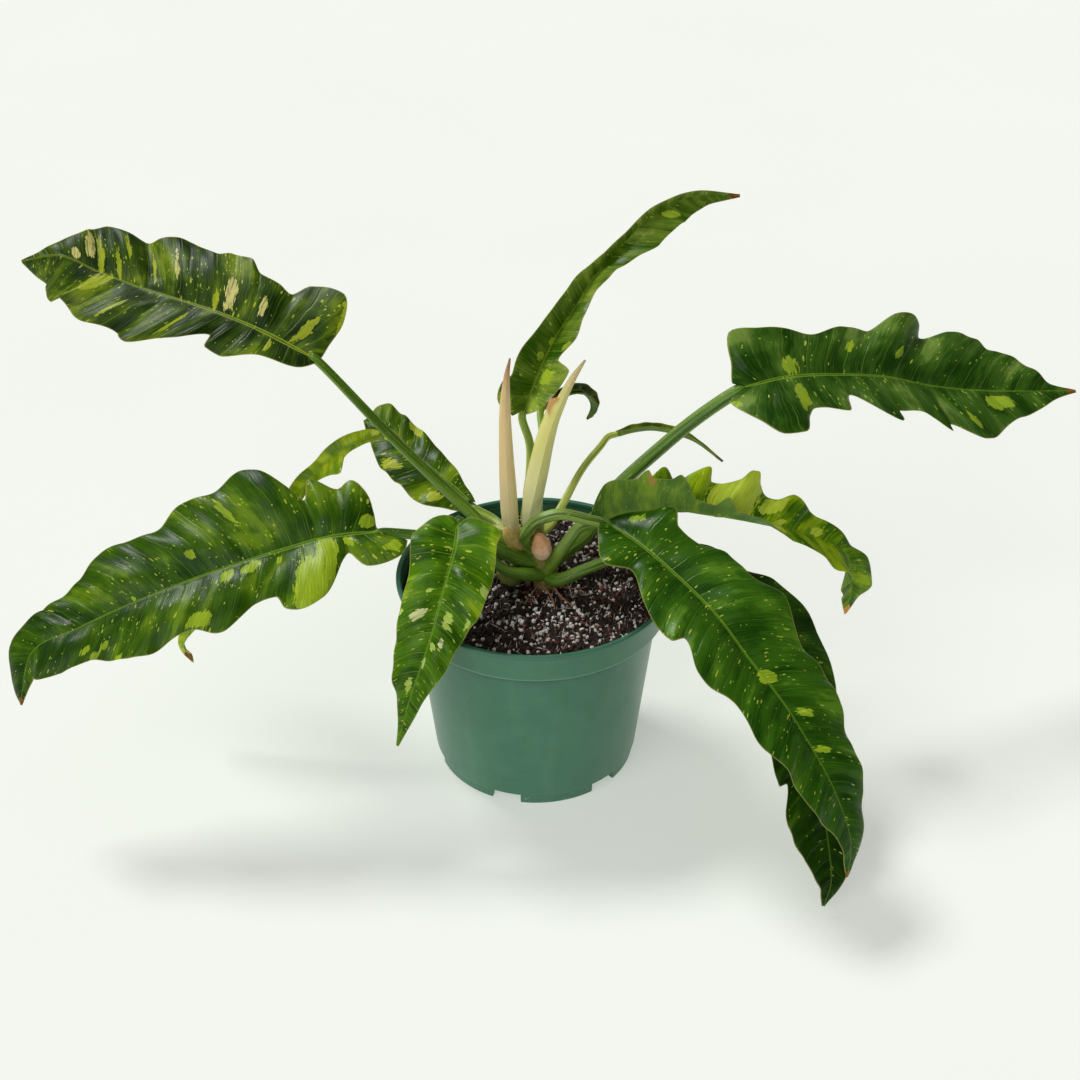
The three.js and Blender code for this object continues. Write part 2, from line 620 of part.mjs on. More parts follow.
const PETIOLE_ORDER = ["left", "front", "front_right", "right_upper", "right_middle", "upper_left",
  "lower_right", "top", "curled_top", "narrow_left", "short_back_left", "young_rolled"];
const PETIOLE_STEPS = 12;
const PETIOLE_SIDES = 8;

const stem = stemSolid(0);
place("stem", stem, stemSolid(SEAT), "#7d8a45", 0.5);
place("bud", budSolid(0), budSolid(SEAT), "#d99a63", 0.45);
for (const name of PETIOLE_ORDER) {
  const leaf = LEAVES.find((one) => one.name === name);
  const solid = petioleSolid(leaf, 0, PETIOLE_STEPS, PETIOLE_SIDES);
  const spread = petioleSolid(leaf, SEAT, PETIOLE_STEPS, PETIOLE_SIDES);
  place("petiole_" + name, solid, spread, "#5f7d3a", 0.4);
}
for (const sheath of SHEATHS) {
  const solid = bladeSolid(sheath);
  const clear = taken.reduce((rest, other) => rest.subtract(other), solid);
  plant.add(meshOf(sheath.name, largestBody(clear), sheath.color, 0.55));
}
for (const leaf of LEAVES) {
  plant.add(meshOf("blade_" + leaf.name, bladeSolid(leaf), leaf.color, 0.28));
}

const soil = soilSolid().subtract(stemSolid(SEAT));
plant.add(meshOf("soil", largestBody(soil), "#2a2019", 0.95));
plant.add(meshOf("pot", potSolid(), "#4b7862", 0.45));

export default plant;
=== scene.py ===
"""A potted ring of fire philodendron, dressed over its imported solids.

Sizes of the plant and the pot are in millimetres and shares, and every mesh is made
in metres in the frame of the solids: the origin is on the pot's axis in the plane that
its feet stand on, +Z is up and the front is towards -Y.
"""

import logging
import math
from collections.abc import Callable, Sequence
from dataclasses import dataclass, field
from enum import Enum

import bpy
import numpy as np
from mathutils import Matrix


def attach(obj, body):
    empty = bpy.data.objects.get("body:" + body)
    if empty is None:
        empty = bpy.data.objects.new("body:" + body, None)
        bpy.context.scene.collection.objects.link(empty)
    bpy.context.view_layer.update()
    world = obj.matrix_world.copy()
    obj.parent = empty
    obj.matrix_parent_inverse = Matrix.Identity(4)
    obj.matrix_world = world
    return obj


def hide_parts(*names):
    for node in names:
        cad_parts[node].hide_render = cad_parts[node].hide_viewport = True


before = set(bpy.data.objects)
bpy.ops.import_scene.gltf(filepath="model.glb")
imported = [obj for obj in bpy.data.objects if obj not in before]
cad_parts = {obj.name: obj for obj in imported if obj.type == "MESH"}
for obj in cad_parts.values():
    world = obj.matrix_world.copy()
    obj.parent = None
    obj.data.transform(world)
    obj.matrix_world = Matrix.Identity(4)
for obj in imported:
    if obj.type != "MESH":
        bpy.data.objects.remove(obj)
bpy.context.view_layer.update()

LOG = logging.getLogger("philodendron")
MM = 0.001
BODY = "root"
SAMPLES = 600
MIX_SHARE, MIX_FIRST, MIX_SECOND, MIX_RESULT = 0, 6, 7, 2

Rows = tuple[tuple[float, ...], ...]
Color = tuple[float, float, float]


def rgb(code: str) -> Color:
    """Returns the linear colour of a hex code such as 4b7862."""
    values = [int(code[i : i + 2], 16) / 255 for i in (0, 2, 4)]
    return tuple(v / 12.92 if v <= 0.04045 else ((v + 0.055) / 1.055) ** 2.4 for v in values)


# Shader maths


class Wire:
    """A shader socket that Python's operators work on.

    Args:
        shade: the tree builder that the socket belongs to.
        socket: the output socket.
    """

    def __init__(self, shade: "Shade", socket: bpy.types.NodeSocket) -> None:
        """Wraps one output socket."""
        self.shade = shade
        self.socket = socket

    def _math(self, operation: str, *others: "Wire | float") -> "Wire":
        """Adds a Math node and returns its result."""
        return self.shade.math(operation, self, *others)

    def __add__(self, other: "Wire | float") -> "Wire":
        """Sum."""
        return self._math("ADD", other)

    __radd__ = __add__

    def __mul__(self, other: "Wire | float") -> "Wire":
        """Product."""
        return self._math("MULTIPLY", other)

    __rmul__ = __mul__

    def __sub__(self, other: "Wire | float") -> "Wire":
        """Difference."""
        return self._math("SUBTRACT", other)

    def __rsub__(self, other: float) -> "Wire":
        """Difference from a number."""
        return self.shade.math("SUBTRACT", other, self)

    def __truediv__(self, other: "Wire | float") -> "Wire":
        """Quotient."""
        return self._math("DIVIDE", other)

    def __abs__(self) -> "Wire":
        """Size without sign."""
        return self._math("ABSOLUTE")

    def __pow__(self, other: float) -> "Wire":
        """Power."""
        return self._math("POWER", other)

    def fraction(self) -> "Wire":
        """Part after the decimal point."""
        return self._math("FRACT")

    def larger(self, other: "Wire | float") -> "Wire":
        """The larger of two values."""
        return self._math("MAXIMUM", other)

    def rise(self, low: float, high: float) -> "Wire":
        """A soft step.

        Args:
            low: value below which the step is 0.
            high: value above which the step is 1.

        Returns:
            The step, from 0 to 1.
        """
        settings = {"interpolation_type": "SMOOTHSTEP"}
        values = {"Value": self, "From Min": low, "From Max": high}
        return self.shade.node("ShaderNodeMapRange", settings, values, "Result")

    def fall(self, low: float, high: float) -> "Wire":
        """A soft step down from 1 to 0 between two values."""
        return 1.0 - self.rise(low, high)

    def parts(self) -> tuple["Wire", "Wire", "Wire"]:
        """The three numbers of a vector."""
        node = self.shade.add("ShaderNodeSeparateXYZ", {}, {"Vector": self})
        return tuple(Wire(self.shade, node.outputs[axis]) for axis in "XYZ")


Value = Wire | float | Sequence[float]


class Shade:
    """Builds one material's node tree.

    Args:
        name: the material's name.
    """

    def __init__(self, name: str) -> None:
        """Starts an empty tree."""
        self.material = bpy.data.materials.new(name)
        self.material.use_nodes = True
        self.tree = self.material.node_tree
        self.tree.nodes.clear()

    def add(self, kind: str, settings: dict, values: dict[str | int, Value]) -> bpy.types.Node:
        """Adds one node.

        Args:
            kind: the node's type.
            settings: its properties, set first.
            values: numbers, colours or wires for its input sockets.

        Returns:
            The node.
        """
        node = self.tree.nodes.new(kind)
        for key, value in settings.items():
            setattr(node, key, value)
        for key, value in values.items():
            if isinstance(value, Wire):
                self.tree.links.new(value.socket, node.inputs[key])
            else:
                node.inputs[key].default_value = value
        return node

    def node(self, kind: str, settings: dict, values: dict[str | int, Value], out: str | int) -> Wire:
        """Adds one node and returns the named output."""
        return Wire(self, self.add(kind, settings, values).outputs[out])

    def math(self, operation: str, *values: Wire | float) -> Wire:
        """Adds a Math node on one or two values."""
        return self.node("ShaderNodeMath", {"operation": operation}, dict(enumerate(values)), 0)

    def vector(self, x: Value, y: Value, z: Value) -> Wire:
        """Joins three numbers into a vector."""
        return self.node("ShaderNodeCombineXYZ", {}, {"X": x, "Y": y, "Z": z}, 0)

    def attribute(self, name: str) -> Wire:
        """Reads a vector that the mesh stores at its points."""
        return self.node("ShaderNodeAttribute", {"attribute_name": name}, {}, "Vector")

    def level(self, name: str) -> Wire:
        """Reads a number that the mesh stores at its points."""
        return self.node("ShaderNodeAttribute", {"attribute_name": name}, {}, "Fac")

    def place(self) -> Wire:
        """The point's place in the frame, in metres."""
        return self.node("ShaderNodeTexCoord", {}, {}, "Object")

    def noise(self, where: Wire, scale: float = 1.0, detail: float = 2.0, rough: float = 0.5) -> Wire:
        """A noise value, mostly from 0.3 to 0.7."""
        values = {"Vector": where, "Scale": scale, "Detail": detail, "Roughness": rough}
        return self.node("ShaderNodeTexNoise", {}, values, 0)

    def cells(self, where: Wire, scale: float = 1.0) -> Wire:
        """Distance to the nearest of scattered points."""
        return self.node("ShaderNodeTexVoronoi", {}, {"Vector": where, "Scale": scale}, "Distance")

    def spots(self, where: Wire, share: Wire | float, size: float) -> Wire:
        """Spots of many sizes in some of a plane's cells.

        Args:
            where: place in the plane, with cells about 1 across.
            share: share of the cells that have a spot.
            size: radius of the largest spot.

        Returns:
            1 in a spot and 0 between them.
        """
        inputs = {"Vector": where, "Scale": 1.0}
        cell = self.add("ShaderNodeTexVoronoi", {"voronoi_dimensions": "2D"}, inputs)
        chance = Wire(self, cell.outputs["Color"]).parts()[0]
        radius = ((chance - 1.0 + share) / (share + 0.001)).larger(0.0) ** 0.5 * size
        return (Wire(self, cell.outputs["Distance"]) - radius).fall(-0.03, -0.01)

    def blend(self, share: Value, first: Wire | Color, second: Wire | Color) -> Wire:
        """Mixes two colours by a share."""
        ends = [c if isinstance(c, Wire) else (*c, 1.0) for c in (first, second)]
        values = {MIX_SHARE: share, MIX_FIRST: ends[0], MIX_SECOND: ends[1]}
        node = self.add("ShaderNodeMix", {"data_type": "RGBA"}, values)
        return Wire(self, node.outputs[MIX_RESULT])

    def bump(self, height: Wire, distance: float = MM, strength: float = 1.0) -> Wire:
        """Turns a height, in units of the distance, into a surface direction."""
        values = {"Height": height, "Distance": distance, "Strength": strength}
        return self.node("ShaderNodeBump", {}, values, 0)

    def finish(self, values: dict[str, Value]) -> bpy.types.Material:
        """Ends the tree in a principled surface.

        Args:
            values: numbers, colours or wires for its sockets.

        Returns:
            The material.
        """
        surface = self.add("ShaderNodeBsdfPrincipled", {}, values)
        output = self.tree.nodes.new("ShaderNodeOutputMaterial")
        self.tree.links.new(surface.outputs[0], output.inputs[0])
        return self.material


# Curves and profiles


def monotone(rows: Rows, at: np.ndarray) -> np.ndarray:
    """A smooth line through rows of (share, value) that never overshoots them.

    Args:
        rows: the points, in rising order.
        at: the shares to read.

    Returns:
        The values there.
    """
    x, y = np.array(rows, float)[:, :2].T
    h, slope = np.diff(x), np.diff(y) / np.diff(x)
    tangent = np.zeros_like(y)
    tangent[0], tangent[-1] = slope[0], slope[-1]
    for i in range(1, len(x) - 1):
        if slope[i - 1] * slope[i] > 0:
            a, b = 2 * h[i] + h[i - 1], h[i] + 2 * h[i - 1]
            tangent[i] = (a + b) / (a / slope[i - 1] + b / slope[i])
    k = np.clip(np.searchsorted(x, at, side="right") - 1, 0, len(h) - 1)
    u = (at - x[k]) / h[k]
    return (
        y[k] * (1 + 2 * u) * (1 - u) ** 2
        + h[k] * tangent[k] * u * (1 - u) ** 2
        + y[k + 1] * u**2 * (3 - 2 * u)
        + h[k] * tangent[k + 1] * u**2 * (u - 1)
    )


def straight(rows: Rows, at: np.ndarray, column: int = 1) -> np.ndarray:
    """Values read from rows by straight lines."""
    table = np.array(rows, float)
    return np.interp(at, table[:, 0], table[:, column])


def unit(vectors: np.ndarray) -> np.ndarray:
    """Vectors at length 1."""
    return vectors / np.linalg.norm(vectors, axis=-1, keepdims=True)


@dataclass
class Route:
    """A smooth curve through points, the same as the solids' curves.

    Args:
        points: the points it passes, in millimetres.
    """

    points: Sequence[Sequence[float]]

    def at(self, shares: np.ndarray) -> np.ndarray:
        """Points of the curve at shares of its spans."""
        p = np.array(self.points, float)
        p = np.vstack([2 * p[0] - p[1], p, 2 * p[-1] - p[-2]])
        spans = len(self.points) - 1
        x = np.clip(shares, 0, 1) * spans
        i = np.minimum(x.astype(int), spans - 1)
        w = (x - i)[:, None]
        p0, p1, p2, p3 = p[i], p[i + 1], p[i + 2], p[i + 3]
        t0, t1 = 0.5 * (p2 - p0), 0.5 * (p3 - p1)
        square = (-3 * p1 + 3 * p2 - 2 * t0 - t1) * w**2
        return p1 + t0 * w + square + (2 * p1 - 2 * p2 + t0 + t1) * w**3

    def directions(self, shares: np.ndarray) -> np.ndarray:
        """Unit directions of the curve."""
        step = 1e-4
        return unit(self.at(np.minimum(shares + step, 1)) - self.at(np.maximum(shares - step, 0)))

    def lengths(self, shares: np.ndarray) -> np.ndarray:
        """Distance along the curve, in millimetres, at each share."""
        fine = np.linspace(0, 1, SAMPLES)
        steps = np.linalg.norm(np.diff(self.at(fine), axis=0), axis=1)
        run = np.concatenate([[0], np.cumsum(steps)])
        return np.interp(shares, fine, run)

    def total(self) -> float:
        """The whole length, in millimetres."""
        return float(self.lengths(np.ones(1))[0])

    def even(self, count: int) -> np.ndarray:
        """Shares that lie evenly along the curve."""
        fine = np.linspace(0, 1, SAMPLES)
        run = self.lengths(fine)
        return np.interp(np.linspace(0, run[-1], count), run, fine)


# Meshes


def linked(name: str, data: bpy.types.ID) -> bpy.types.Object:
    """Makes an object and links it to the scene."""
    made = bpy.data.objects.new(name, data)
    bpy.context.scene.collection.objects.link(made)
    return made


def applied(thing: bpy.types.Object) -> bpy.types.Mesh:
    """Takes an object's modifiers off and returns the mesh that they made."""
    bpy.context.view_layer.update()
    depsgraph = bpy.context.evaluated_depsgraph_get()
    mesh = bpy.data.meshes.new_from_object(thing.evaluated_get(depsgraph))
    thing.modifiers.clear()
    return mesh


def angles(count: int) -> np.ndarray:
    """Angles of points spread evenly around."""
    return np.linspace(0, 2 * math.pi, count, endpoint=False)


@dataclass
class Piece:
    """One finished mesh of the scene.

    Args:
        name: the object's name.
        points: places in millimetres.
        faces: corner numbers, outward.
        vectors: vectors stored at the points, by name.
        levels: numbers stored at the points, by name.
    """

    name: str
    points: np.ndarray
    faces: list[tuple[int, ...]]
    vectors: dict[str, np.ndarray] = field(default_factory=dict)
    levels: dict[str, np.ndarray] = field(default_factory=dict)

    def make(self, material: bpy.types.Material) -> bpy.types.Object:
        """Makes the smooth-shaded object.

        Args:
            material: its finish.

        Returns:
            The object, linked to the scene.
        """
        mesh = bpy.data.meshes.new(self.name)
        mesh.from_pydata((self.points * MM).tolist(), [], self.faces)
        kinds = ((self.vectors, "FLOAT_VECTOR", "vector"), (self.levels, "FLOAT", "value"))
        for stored, kind, key in kinds:
            for name, values in stored.items():
                layer = mesh.attributes.new(name, kind, "POINT")
                layer.data.foreach_set(key, values.ravel())
        mesh.polygons.foreach_set("use_smooth", [True] * len(mesh.polygons))
        mesh.materials.append(material)
        mesh.update()
        return linked(self.name, mesh)


def settle(piece: bpy.types.Object, slot: str, *nodes: str) -> None:
    """Attaches a piece to its body and hides the nodes that it stands for; its slot is not used."""
    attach(piece, BODY)
    if nodes:
        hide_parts(*nodes)
    triangles = sum(len(face.vertices) - 2 for face in piece.data.polygons)
    LOG.info("%s: %d triangles", piece.name, triangles)


def tube_faces(rings: int, sides: int) -> list[tuple[int, ...]]:
    """Faces of a closed bar of rings, with a point at each end after the rings."""
    faces = []
    for j in range(sides):
        k = (j + 1) % sides
        for i in range(rings - 1):
            row = i * sides
            faces.append((row + j, row + k, row + sides + k, row + sides + j))
        last = (rings - 1) * sides
        faces.append((rings * sides, k, j))
        faces.append((rings * sides + 1, last + j, last + k))
    return faces


def band(upper: int, lower: int, count: int) -> list[tuple[int, ...]]:
    """Faces between two rings of points, given the number of each ring's first point."""
    pairs = [(j, (j + 1) % count) for j in range(count)]
    return [(upper + j, lower + j, lower + k, upper + k) for j, k in pairs]


@dataclass
class Bar:
    """A closed bar along a route, whose section and radius may vary.

    Args:
        name: the object's name.
        route: its centre line.
        radius: radius in millimetres by share of length.
        up: direction that the section's top looks in.
        section: factor on the radius by share of length and angle from the top.
        step: distance between rings, in millimetres.
        sides: points around.
    """

    name: str
    route: Route
    radius: Callable[[np.ndarray], np.ndarray]
    up: Sequence[float]
    section: Callable[[np.ndarray, np.ndarray], np.ndarray]
    step: float = 1.2
    sides: int = 28

    def piece(self) -> Piece:
        """Returns the bar as a piece, with its place along and across stored."""
        total = self.route.total()
        rings = max(8, int(total / self.step))
        shares = self.route.even(rings)
        centre, tangent = self.route.at(shares), self.route.directions(shares)
        along = np.linspace(0, total, rings)
        top = np.array(self.up, float) - (tangent @ np.array(self.up, float))[:, None] * tangent
        top = unit(top)
        side = np.cross(tangent, top)
        angle = np.linspace(-math.pi, math.pi, self.sides, endpoint=False)
        even = along / total
        radius = self.radius(even)[:, None] * self.section(even[:, None], angle[None, :])
        cos, sin = np.cos(angle), np.sin(angle)
        spoke = top[:, None] * cos[None, :, None] + side[:, None] * sin[None, :, None]
        points = (centre[:, None] + spoke * radius[..., None]).reshape(-1, 3)
        points = np.vstack([points, centre[:1], centre[-1:]])
        around = (radius * cos, radius * sin)
        grid = np.stack(np.broadcast_arrays(along[:, None], *around), -1).reshape(-1, 3)
        span = np.vstack([grid, [[0, 0, 0]], [[total, 0, 0]]])
        return Piece(self.name, points, tube_faces(rings, self.sides), {"span": span})


# Leaves


class Tint(Enum):
    """Patches of another colour on a blade, by their place in the stored vector."""

    LIME = 0
    CREAM = 1
    RUST = 2


@dataclass(frozen=True)
class Patch:
    """One patch on a blade.

    Args:
        tint: its colour.
        along: share of length at its middle.
        across: its middle, from -1 at the right margin to 1 at the left one.
        reach: half its length, as a share of the blade's.
        spread: half its width, as a share of the half blade's.
        power: 2 for a round patch, more for a squarer one.
    """

    tint: Tint
    along: float
    across: float
    reach: float
    spread: float
    power: float = 2.0

    def cover(self, t: np.ndarray, s: np.ndarray) -> np.ndarray:
        """How strongly the patch covers each point."""
        long = np.abs((t - self.along) / self.reach) ** self.power
        wide = np.abs((s - self.across) / self.spread) ** self.power
        return np.exp(-0.7 * (long + wide))


@dataclass(frozen=True)
class Leaf:
    """The lines that one leaf follows, the same as its solids'.

    Args:
        name: the name that its nodes end in.
        midrib: points from the blade's base to its tip.
        face: rows of share and direction that the upper side looks in.
        lift: degrees that the left and the right half rise from the midrib, by share.
        bend: degrees that each half then turns down.
        left: half width by share of length.
        right: the same on the right.
        stalk: points of the petiole from the stem.
        girth: radius of the petiole at the stem and at the blade.
    """

    name: str
    midrib: Rows
    face: Rows
    lift: tuple[Rows, Rows]
    bend: tuple[float, float]
    left: Rows
    right: Rows
    stalk: Rows = ()
    girth: tuple[float, float] = (0.0, 0.0)


VEIN_SWEEP = ((0, -62), (0.1, -5), (0.3, 25), (1, 42))
MARGIN_WAVES = 7

LEAVES = (
    Leaf(
        name="upper_left",
        midrib=((-129, 50, 244), (-157, 62, 254), (-185, 75, 260), (-210, 88, 262),
            (-235, 100, 264), (-262, 112, 269), (-285, 121, 275), (-311, 128, 268)),
        face=((0, 0, -0.5, 0.85), (1, -0.1, -0.5, 0.85)),
        lift=(((0, 18), (0.68, 14), (0.74, -25), (1, -35)), ((0, 18), (1, 12))),
        bend=(25, 25),
        left=((0, 4), (0.05, 12), (0.12, 15), (0.19, 26), (0.225, 26), (0.245, 17), (0.29, 29),
            (0.34, 33), (0.39, 45), (0.485, 37), (0.56, 42), (0.65, 34), (0.69, 31), (0.71, 23),
            (0.74, 37), (0.79, 31), (0.86, 23), (0.93, 15), (1, 1)),
        right=((0, 4), (0.03, 16), (0.05, 32), (0.075, 45), (0.115, 40), (0.138, 30), (0.16, 32),
            (0.2, 34), (0.225, 42), (0.27, 43), (0.31, 39), (0.42, 46), (0.54, 37), (0.66, 37),
            (0.76, 23), (0.88, 9), (1, 1)),
        stalk=((2, 0, 145), (-14, 3, 146), (-28, 8, 153), (-47, 18, 168), (-86, 35, 202)),
        girth=(4.4, 2.6),
    ),
    Leaf(
        name="left",
        midrib=((-89, -25, 173), (-116, -29, 172), (-145, -34, 166), (-174, -40, 159),
            (-202, -46, 151), (-231, -52, 141), (-259, -59, 130), (-285, -65, 118),
            (-294, -75, 88)),
        face=((0, -0.1, -0.5, 0.85), (1, -0.35, -0.5, 0.8)),
        lift=(((0, 20), (1, 10)), ((0, 20), (1, 10))),
        bend=(30, 30),
        left=((0, 18), (0.03, 25), (0.07, 22), (0.09, 11), (0.105, 15), (0.15, 38), (0.185, 43),
            (0.215, 40), (0.24, 30), (0.28, 31), (0.34, 44), (0.43, 36), (0.52, 42), (0.61, 35),
            (0.7, 27), (0.79, 28), (0.88, 12), (1, 1)),
        right=((0, 3), (0.02, 5), (0.045, 15), (0.065, 27), (0.085, 34), (0.1, 30), (0.14, 39),
            (0.155, 27), (0.17, 37), (0.2, 55), (0.225, 59), (0.29, 53), (0.345, 55), (0.44, 44),
            (0.54, 48), (0.64, 35), (0.77, 27), (0.89, 17), (0.96, 9), (1, 1)),
        stalk=((4, -2, 138), (-9, -7, 142), (-26, -14, 155), (-54, -22, 167)),
        girth=(4.6, 2.8),
    ),
    Leaf(
        name="front",
        midrib=((-44, -25, 177), (-45, -38, 172), (-49, -52, 162), (-53, -64, 152), (-57, -75, 140),
            (-63, -84, 124), (-70, -91, 105), (-78, -97, 76)),
        face=((0, 0, -0.4, 0.9), (1, -0.2, -0.7, 0.6)),
        lift=(((0, 25), (1, 10)), ((0, 25), (1, 10))),
        bend=(40, 40),
        left=((0, 6), (0.045, 16), (0.095, 26), (0.12, 24), (0.18, 26), (0.29, 28), (0.365, 27),
            (0.475, 21), (0.66, 17), (0.76, 12), (0.87, 8), (1, 1)),
        right=((0, 8), (0.06, 19), (0.12, 26), (0.25, 24), (0.44, 25), (0.56, 24), (0.68, 21),
            (0.76, 17), (0.84, 11), (0.92, 5), (1, 1)),
        stalk=((6, -5, 130), (-4, -14, 136), (-18, -22, 145), (-34, -20, 162)),
        girth=(4.2, 2.6),
    ),
    Leaf(
        name="top",
        midrib=((-6, 60, 205), (2, 74, 221), (12, 88, 237), (24, 101, 251), (37, 114, 267),
            (54, 126, 282), (72, 138, 295), (97, 152, 300), (125, 165, 294)),
        face=((0, 0, -0.6, 0.8), (0.6, 0, -0.6, 0.8), (1, 0.2, -0.5, 0.8)),
        lift=(((0, 50), (0.45, 55), (0.55, 80), (0.85, 75), (1, 40)),
            ((0, 50), (0.5, 50), (0.62, 10), (1, 5))),
        bend=(25, 25),
        left=((0, 12), (0.045, 24), (0.07, 22), (0.09, 17), (0.13, 18), (0.25, 14), (0.42, 12),
            (0.5, 9), (0.6, 7), (0.8, 5), (0.9, 3), (1, 1)),
        right=((0, 6), (0.045, 16), (0.11, 22), (0.14, 24), (0.175, 11), (0.24, 18), (0.32, 14),
            (0.42, 10), (0.47, 16), (0.56, 17), (0.62, 21), (0.7, 21), (0.8, 15), (0.9, 8), (1, 1)),
        stalk=((-1, 2, 153), (-5, 12, 158), (-4, 22, 166), (-3, 45, 186)),
        girth=(3.8, 2.4),
    ),
    Leaf(
        name="curled_top",
        midrib=((8, 90, 190), (18, 98, 193), (27, 105, 191), (33, 109, 184), (35, 110, 176),
            (32, 108, 169)),
        face=((0, 0, -0.6, 0.8), (0.6, 0.6, -0.5, 0.6), (1, 0.8, -0.2, -0.5)),
        lift=(((0, 40), (1, 40)), ((0, 40), (1, 40))),
        bend=(-20, -20),
        left=((0, 3), (0.15, 5), (0.5, 6), (0.8, 4), (1, 1)),
        right=((0, 3), (0.15, 6), (0.5, 8), (0.8, 5), (1, 1)),
        stalk=((-1, 3, 156), (1, 12, 157), (2, 38, 169), (4, 68, 181)),
        girth=(3.2, 2.2),
    ),
    Leaf(
        name="right_upper",
        midrib=((124, 55, 222), (150, 63, 224), (180, 71, 221), (210, 79, 215), (239, 86, 205),
            (268, 91, 199), (302, 97, 195), (332, 101, 193)),
        face=((0, 0, -0.5, 0.85), (1, 0.1, -0.5, 0.85)),
        lift=(((0, 25), (1, 12)), ((0, 25), (1, 12))),
        bend=(30, 30),
        left=((0, 9), (0.04, 20), (0.07, 38), (0.105, 35), (0.17, 31), (0.205, 29), (0.26, 34),
            (0.33, 35), (0.385, 48), (0.42, 50), (0.445, 47), (0.465, 39), (0.525, 49), (0.615, 46),
            (0.68, 37), (0.745, 33), (0.82, 22), (0.91, 7), (1, 1)),
        right=((0, 16), (0.055, 30), (0.085, 41), (0.12, 42), (0.145, 30), (0.17, 24), (0.245, 28),
            (0.28, 15), (0.35, 39), (0.4, 26), (0.5, 28), (0.54, 35), (0.56, 28), (0.6, 43),
            (0.65, 39), (0.725, 28), (0.83, 17), (0.94, 5), (1, 1)),
        stalk=((6, -3, 134), (18, 6, 139), (31, 12, 148), (45, 25, 167), (74, 42, 188),
            (97, 50, 205)),
        girth=(4.4, 4),
    ),
    Leaf(
        name="right_middle",
        midrib=((31, -2, 164), (58, 2, 170), (81, 6, 168), (103, 10, 162), (123, 14, 156),
            (145, 18, 148), (167, 22, 137), (185, 24, 126), (192, 23, 106), (190, 20, 83)),
        face=((0, 0, -0.45, 0.9), (0.7, 0, -0.45, 0.9), (1, 0.5, -0.5, 0.7)),
        lift=(((0, 25), (1, 15)), ((0, 125), (0.12, 115), (0.37, 100), (0.48, 70), (0.56, 20),
            (1, 5))),
        bend=(25, 10),
        left=((0, 7), (0.1, 10), (0.13, 12), (0.155, 20), (0.18, 27), (0.21, 20), (0.24, 26),
            (0.27, 31), (0.29, 23), (0.37, 28), (0.385, 34), (0.405, 34), (0.43, 27), (0.5, 21),
            (0.53, 26), (0.6, 20), (0.69, 15), (0.765, 10), (0.81, 17), (0.875, 17), (0.92, 10),
            (1, 1)),
        right=((0, 27), (0.07, 24), (0.11, 24), (0.138, 29), (0.152, 23), (0.19, 23), (0.215, 27),
            (0.24, 22), (0.27, 13), (0.33, 9), (0.355, 17), (0.41, 9), (0.5, 10), (0.585, 13),
            (0.63, 19), (0.69, 22), (0.78, 20), (0.885, 12), (1, 1)),
        stalk=((6, -6, 134), (13, -8, 146), (19, -5, 153)),
        girth=(4.4, 3.2),
    ),
    Leaf(
        name="front_right",
        midrib=((44, -14, 170), (62, -33, 167), (81, -53, 160), (100, -75, 151), (117, -96, 137),
            (134, -115, 123), (149, -131, 105), (162, -144, 85), (172, -155, 59), (172, -161, 36)),
        face=((0, 0.15, -0.45, 0.85), (1, 0.5, -0.6, 0.6)),
        lift=(((0, 25), (1, 12)), ((0, 25), (1, 12))),
        bend=(35, 35),
        left=((0, 6), (0.06, 20), (0.1, 31), (0.125, 24), (0.165, 26), (0.205, 35), (0.255, 35),
            (0.315, 44), (0.42, 37), (0.47, 39), (0.61, 32), (0.75, 25), (0.87, 12), (1, 1)),
        right=((0, 8), (0.05, 17), (0.1, 27), (0.13, 17), (0.195, 30), (0.24, 36), (0.28, 37),
            (0.3, 29), (0.36, 37), (0.47, 29), (0.525, 33), (0.62, 27), (0.75, 23), (0.845, 12),
            (1, 1)),
        stalk=((0, 0, 146), (-6, -8, 158), (0, -9, 169), (14, -8, 174), (30, -9, 171)),
        girth=(3.8, 3.2),
    ),
    Leaf(
        name="lower_right",
        midrib=((64, -4, 142), (91, -20, 133), (116, -38, 117), (137, -58, 96), (152, -80, 73),
            (161, -103, 52), (165, -128, 33), (166, -146, 19), (162, -154, 7)),
        face=((0, 0.15, -0.4, 0.9), (1, 0.4, -0.5, 0.7)),
        lift=(((0, 20), (1, 10)), ((0, 20), (1, 10))),
        bend=(30, 30),
        left=((0, 8), (0.1, 26), (0.165, 32), (0.2, 42), (0.25, 45), (0.34, 42), (0.45, 31),
            (0.6, 24), (0.78, 15), (0.9, 6), (1, 1)),
        right=((0, 6), (0.1, 22), (0.3, 28), (0.49, 30), (0.54, 30), (0.56, 22), (0.61, 32),
            (0.68, 27), (0.81, 14), (0.9, 7), (1, 1)),
        stalk=((6, -6, 129), (14, -14, 132), (28, -14, 139), (44, -9, 143)),
        girth=(4, 3),
    ),
    Leaf(
        name="short_back_left",
        midrib=((-41, 48, 147), (-54, 60, 153), (-68, 73, 158), (-84, 87, 162), (-96, 99, 165),
            (-107, 110, 167)),
        face=((0, 0.1, -0.5, 0.85), (1, 0, -0.5, 0.85)),
        lift=(((0, 20), (1, 10)), ((0, 20), (1, 10))),
        bend=(30, 30),
        left=((0, 8), (0.08, 14), (0.15, 23), (0.25, 25), (0.42, 24), (0.62, 16), (0.74, 11),
            (0.88, 6), (1, 1)),
        right=((0, 5), (0.08, 6), (0.21, 11), (0.35, 15), (0.48, 21), (0.6, 23), (0.8, 22),
            (0.9, 15), (1, 1)),
        stalk=((2, 2, 142), (-12, 10, 143), (-24, 26, 147)),
        girth=(3.6, 2.4),
    ),
    Leaf(
        name="narrow_left",
        midrib=((-91, 37, 200), (-112, 31, 194), (-131, 25, 178), (-149, 20, 153), (-170, 15, 126),
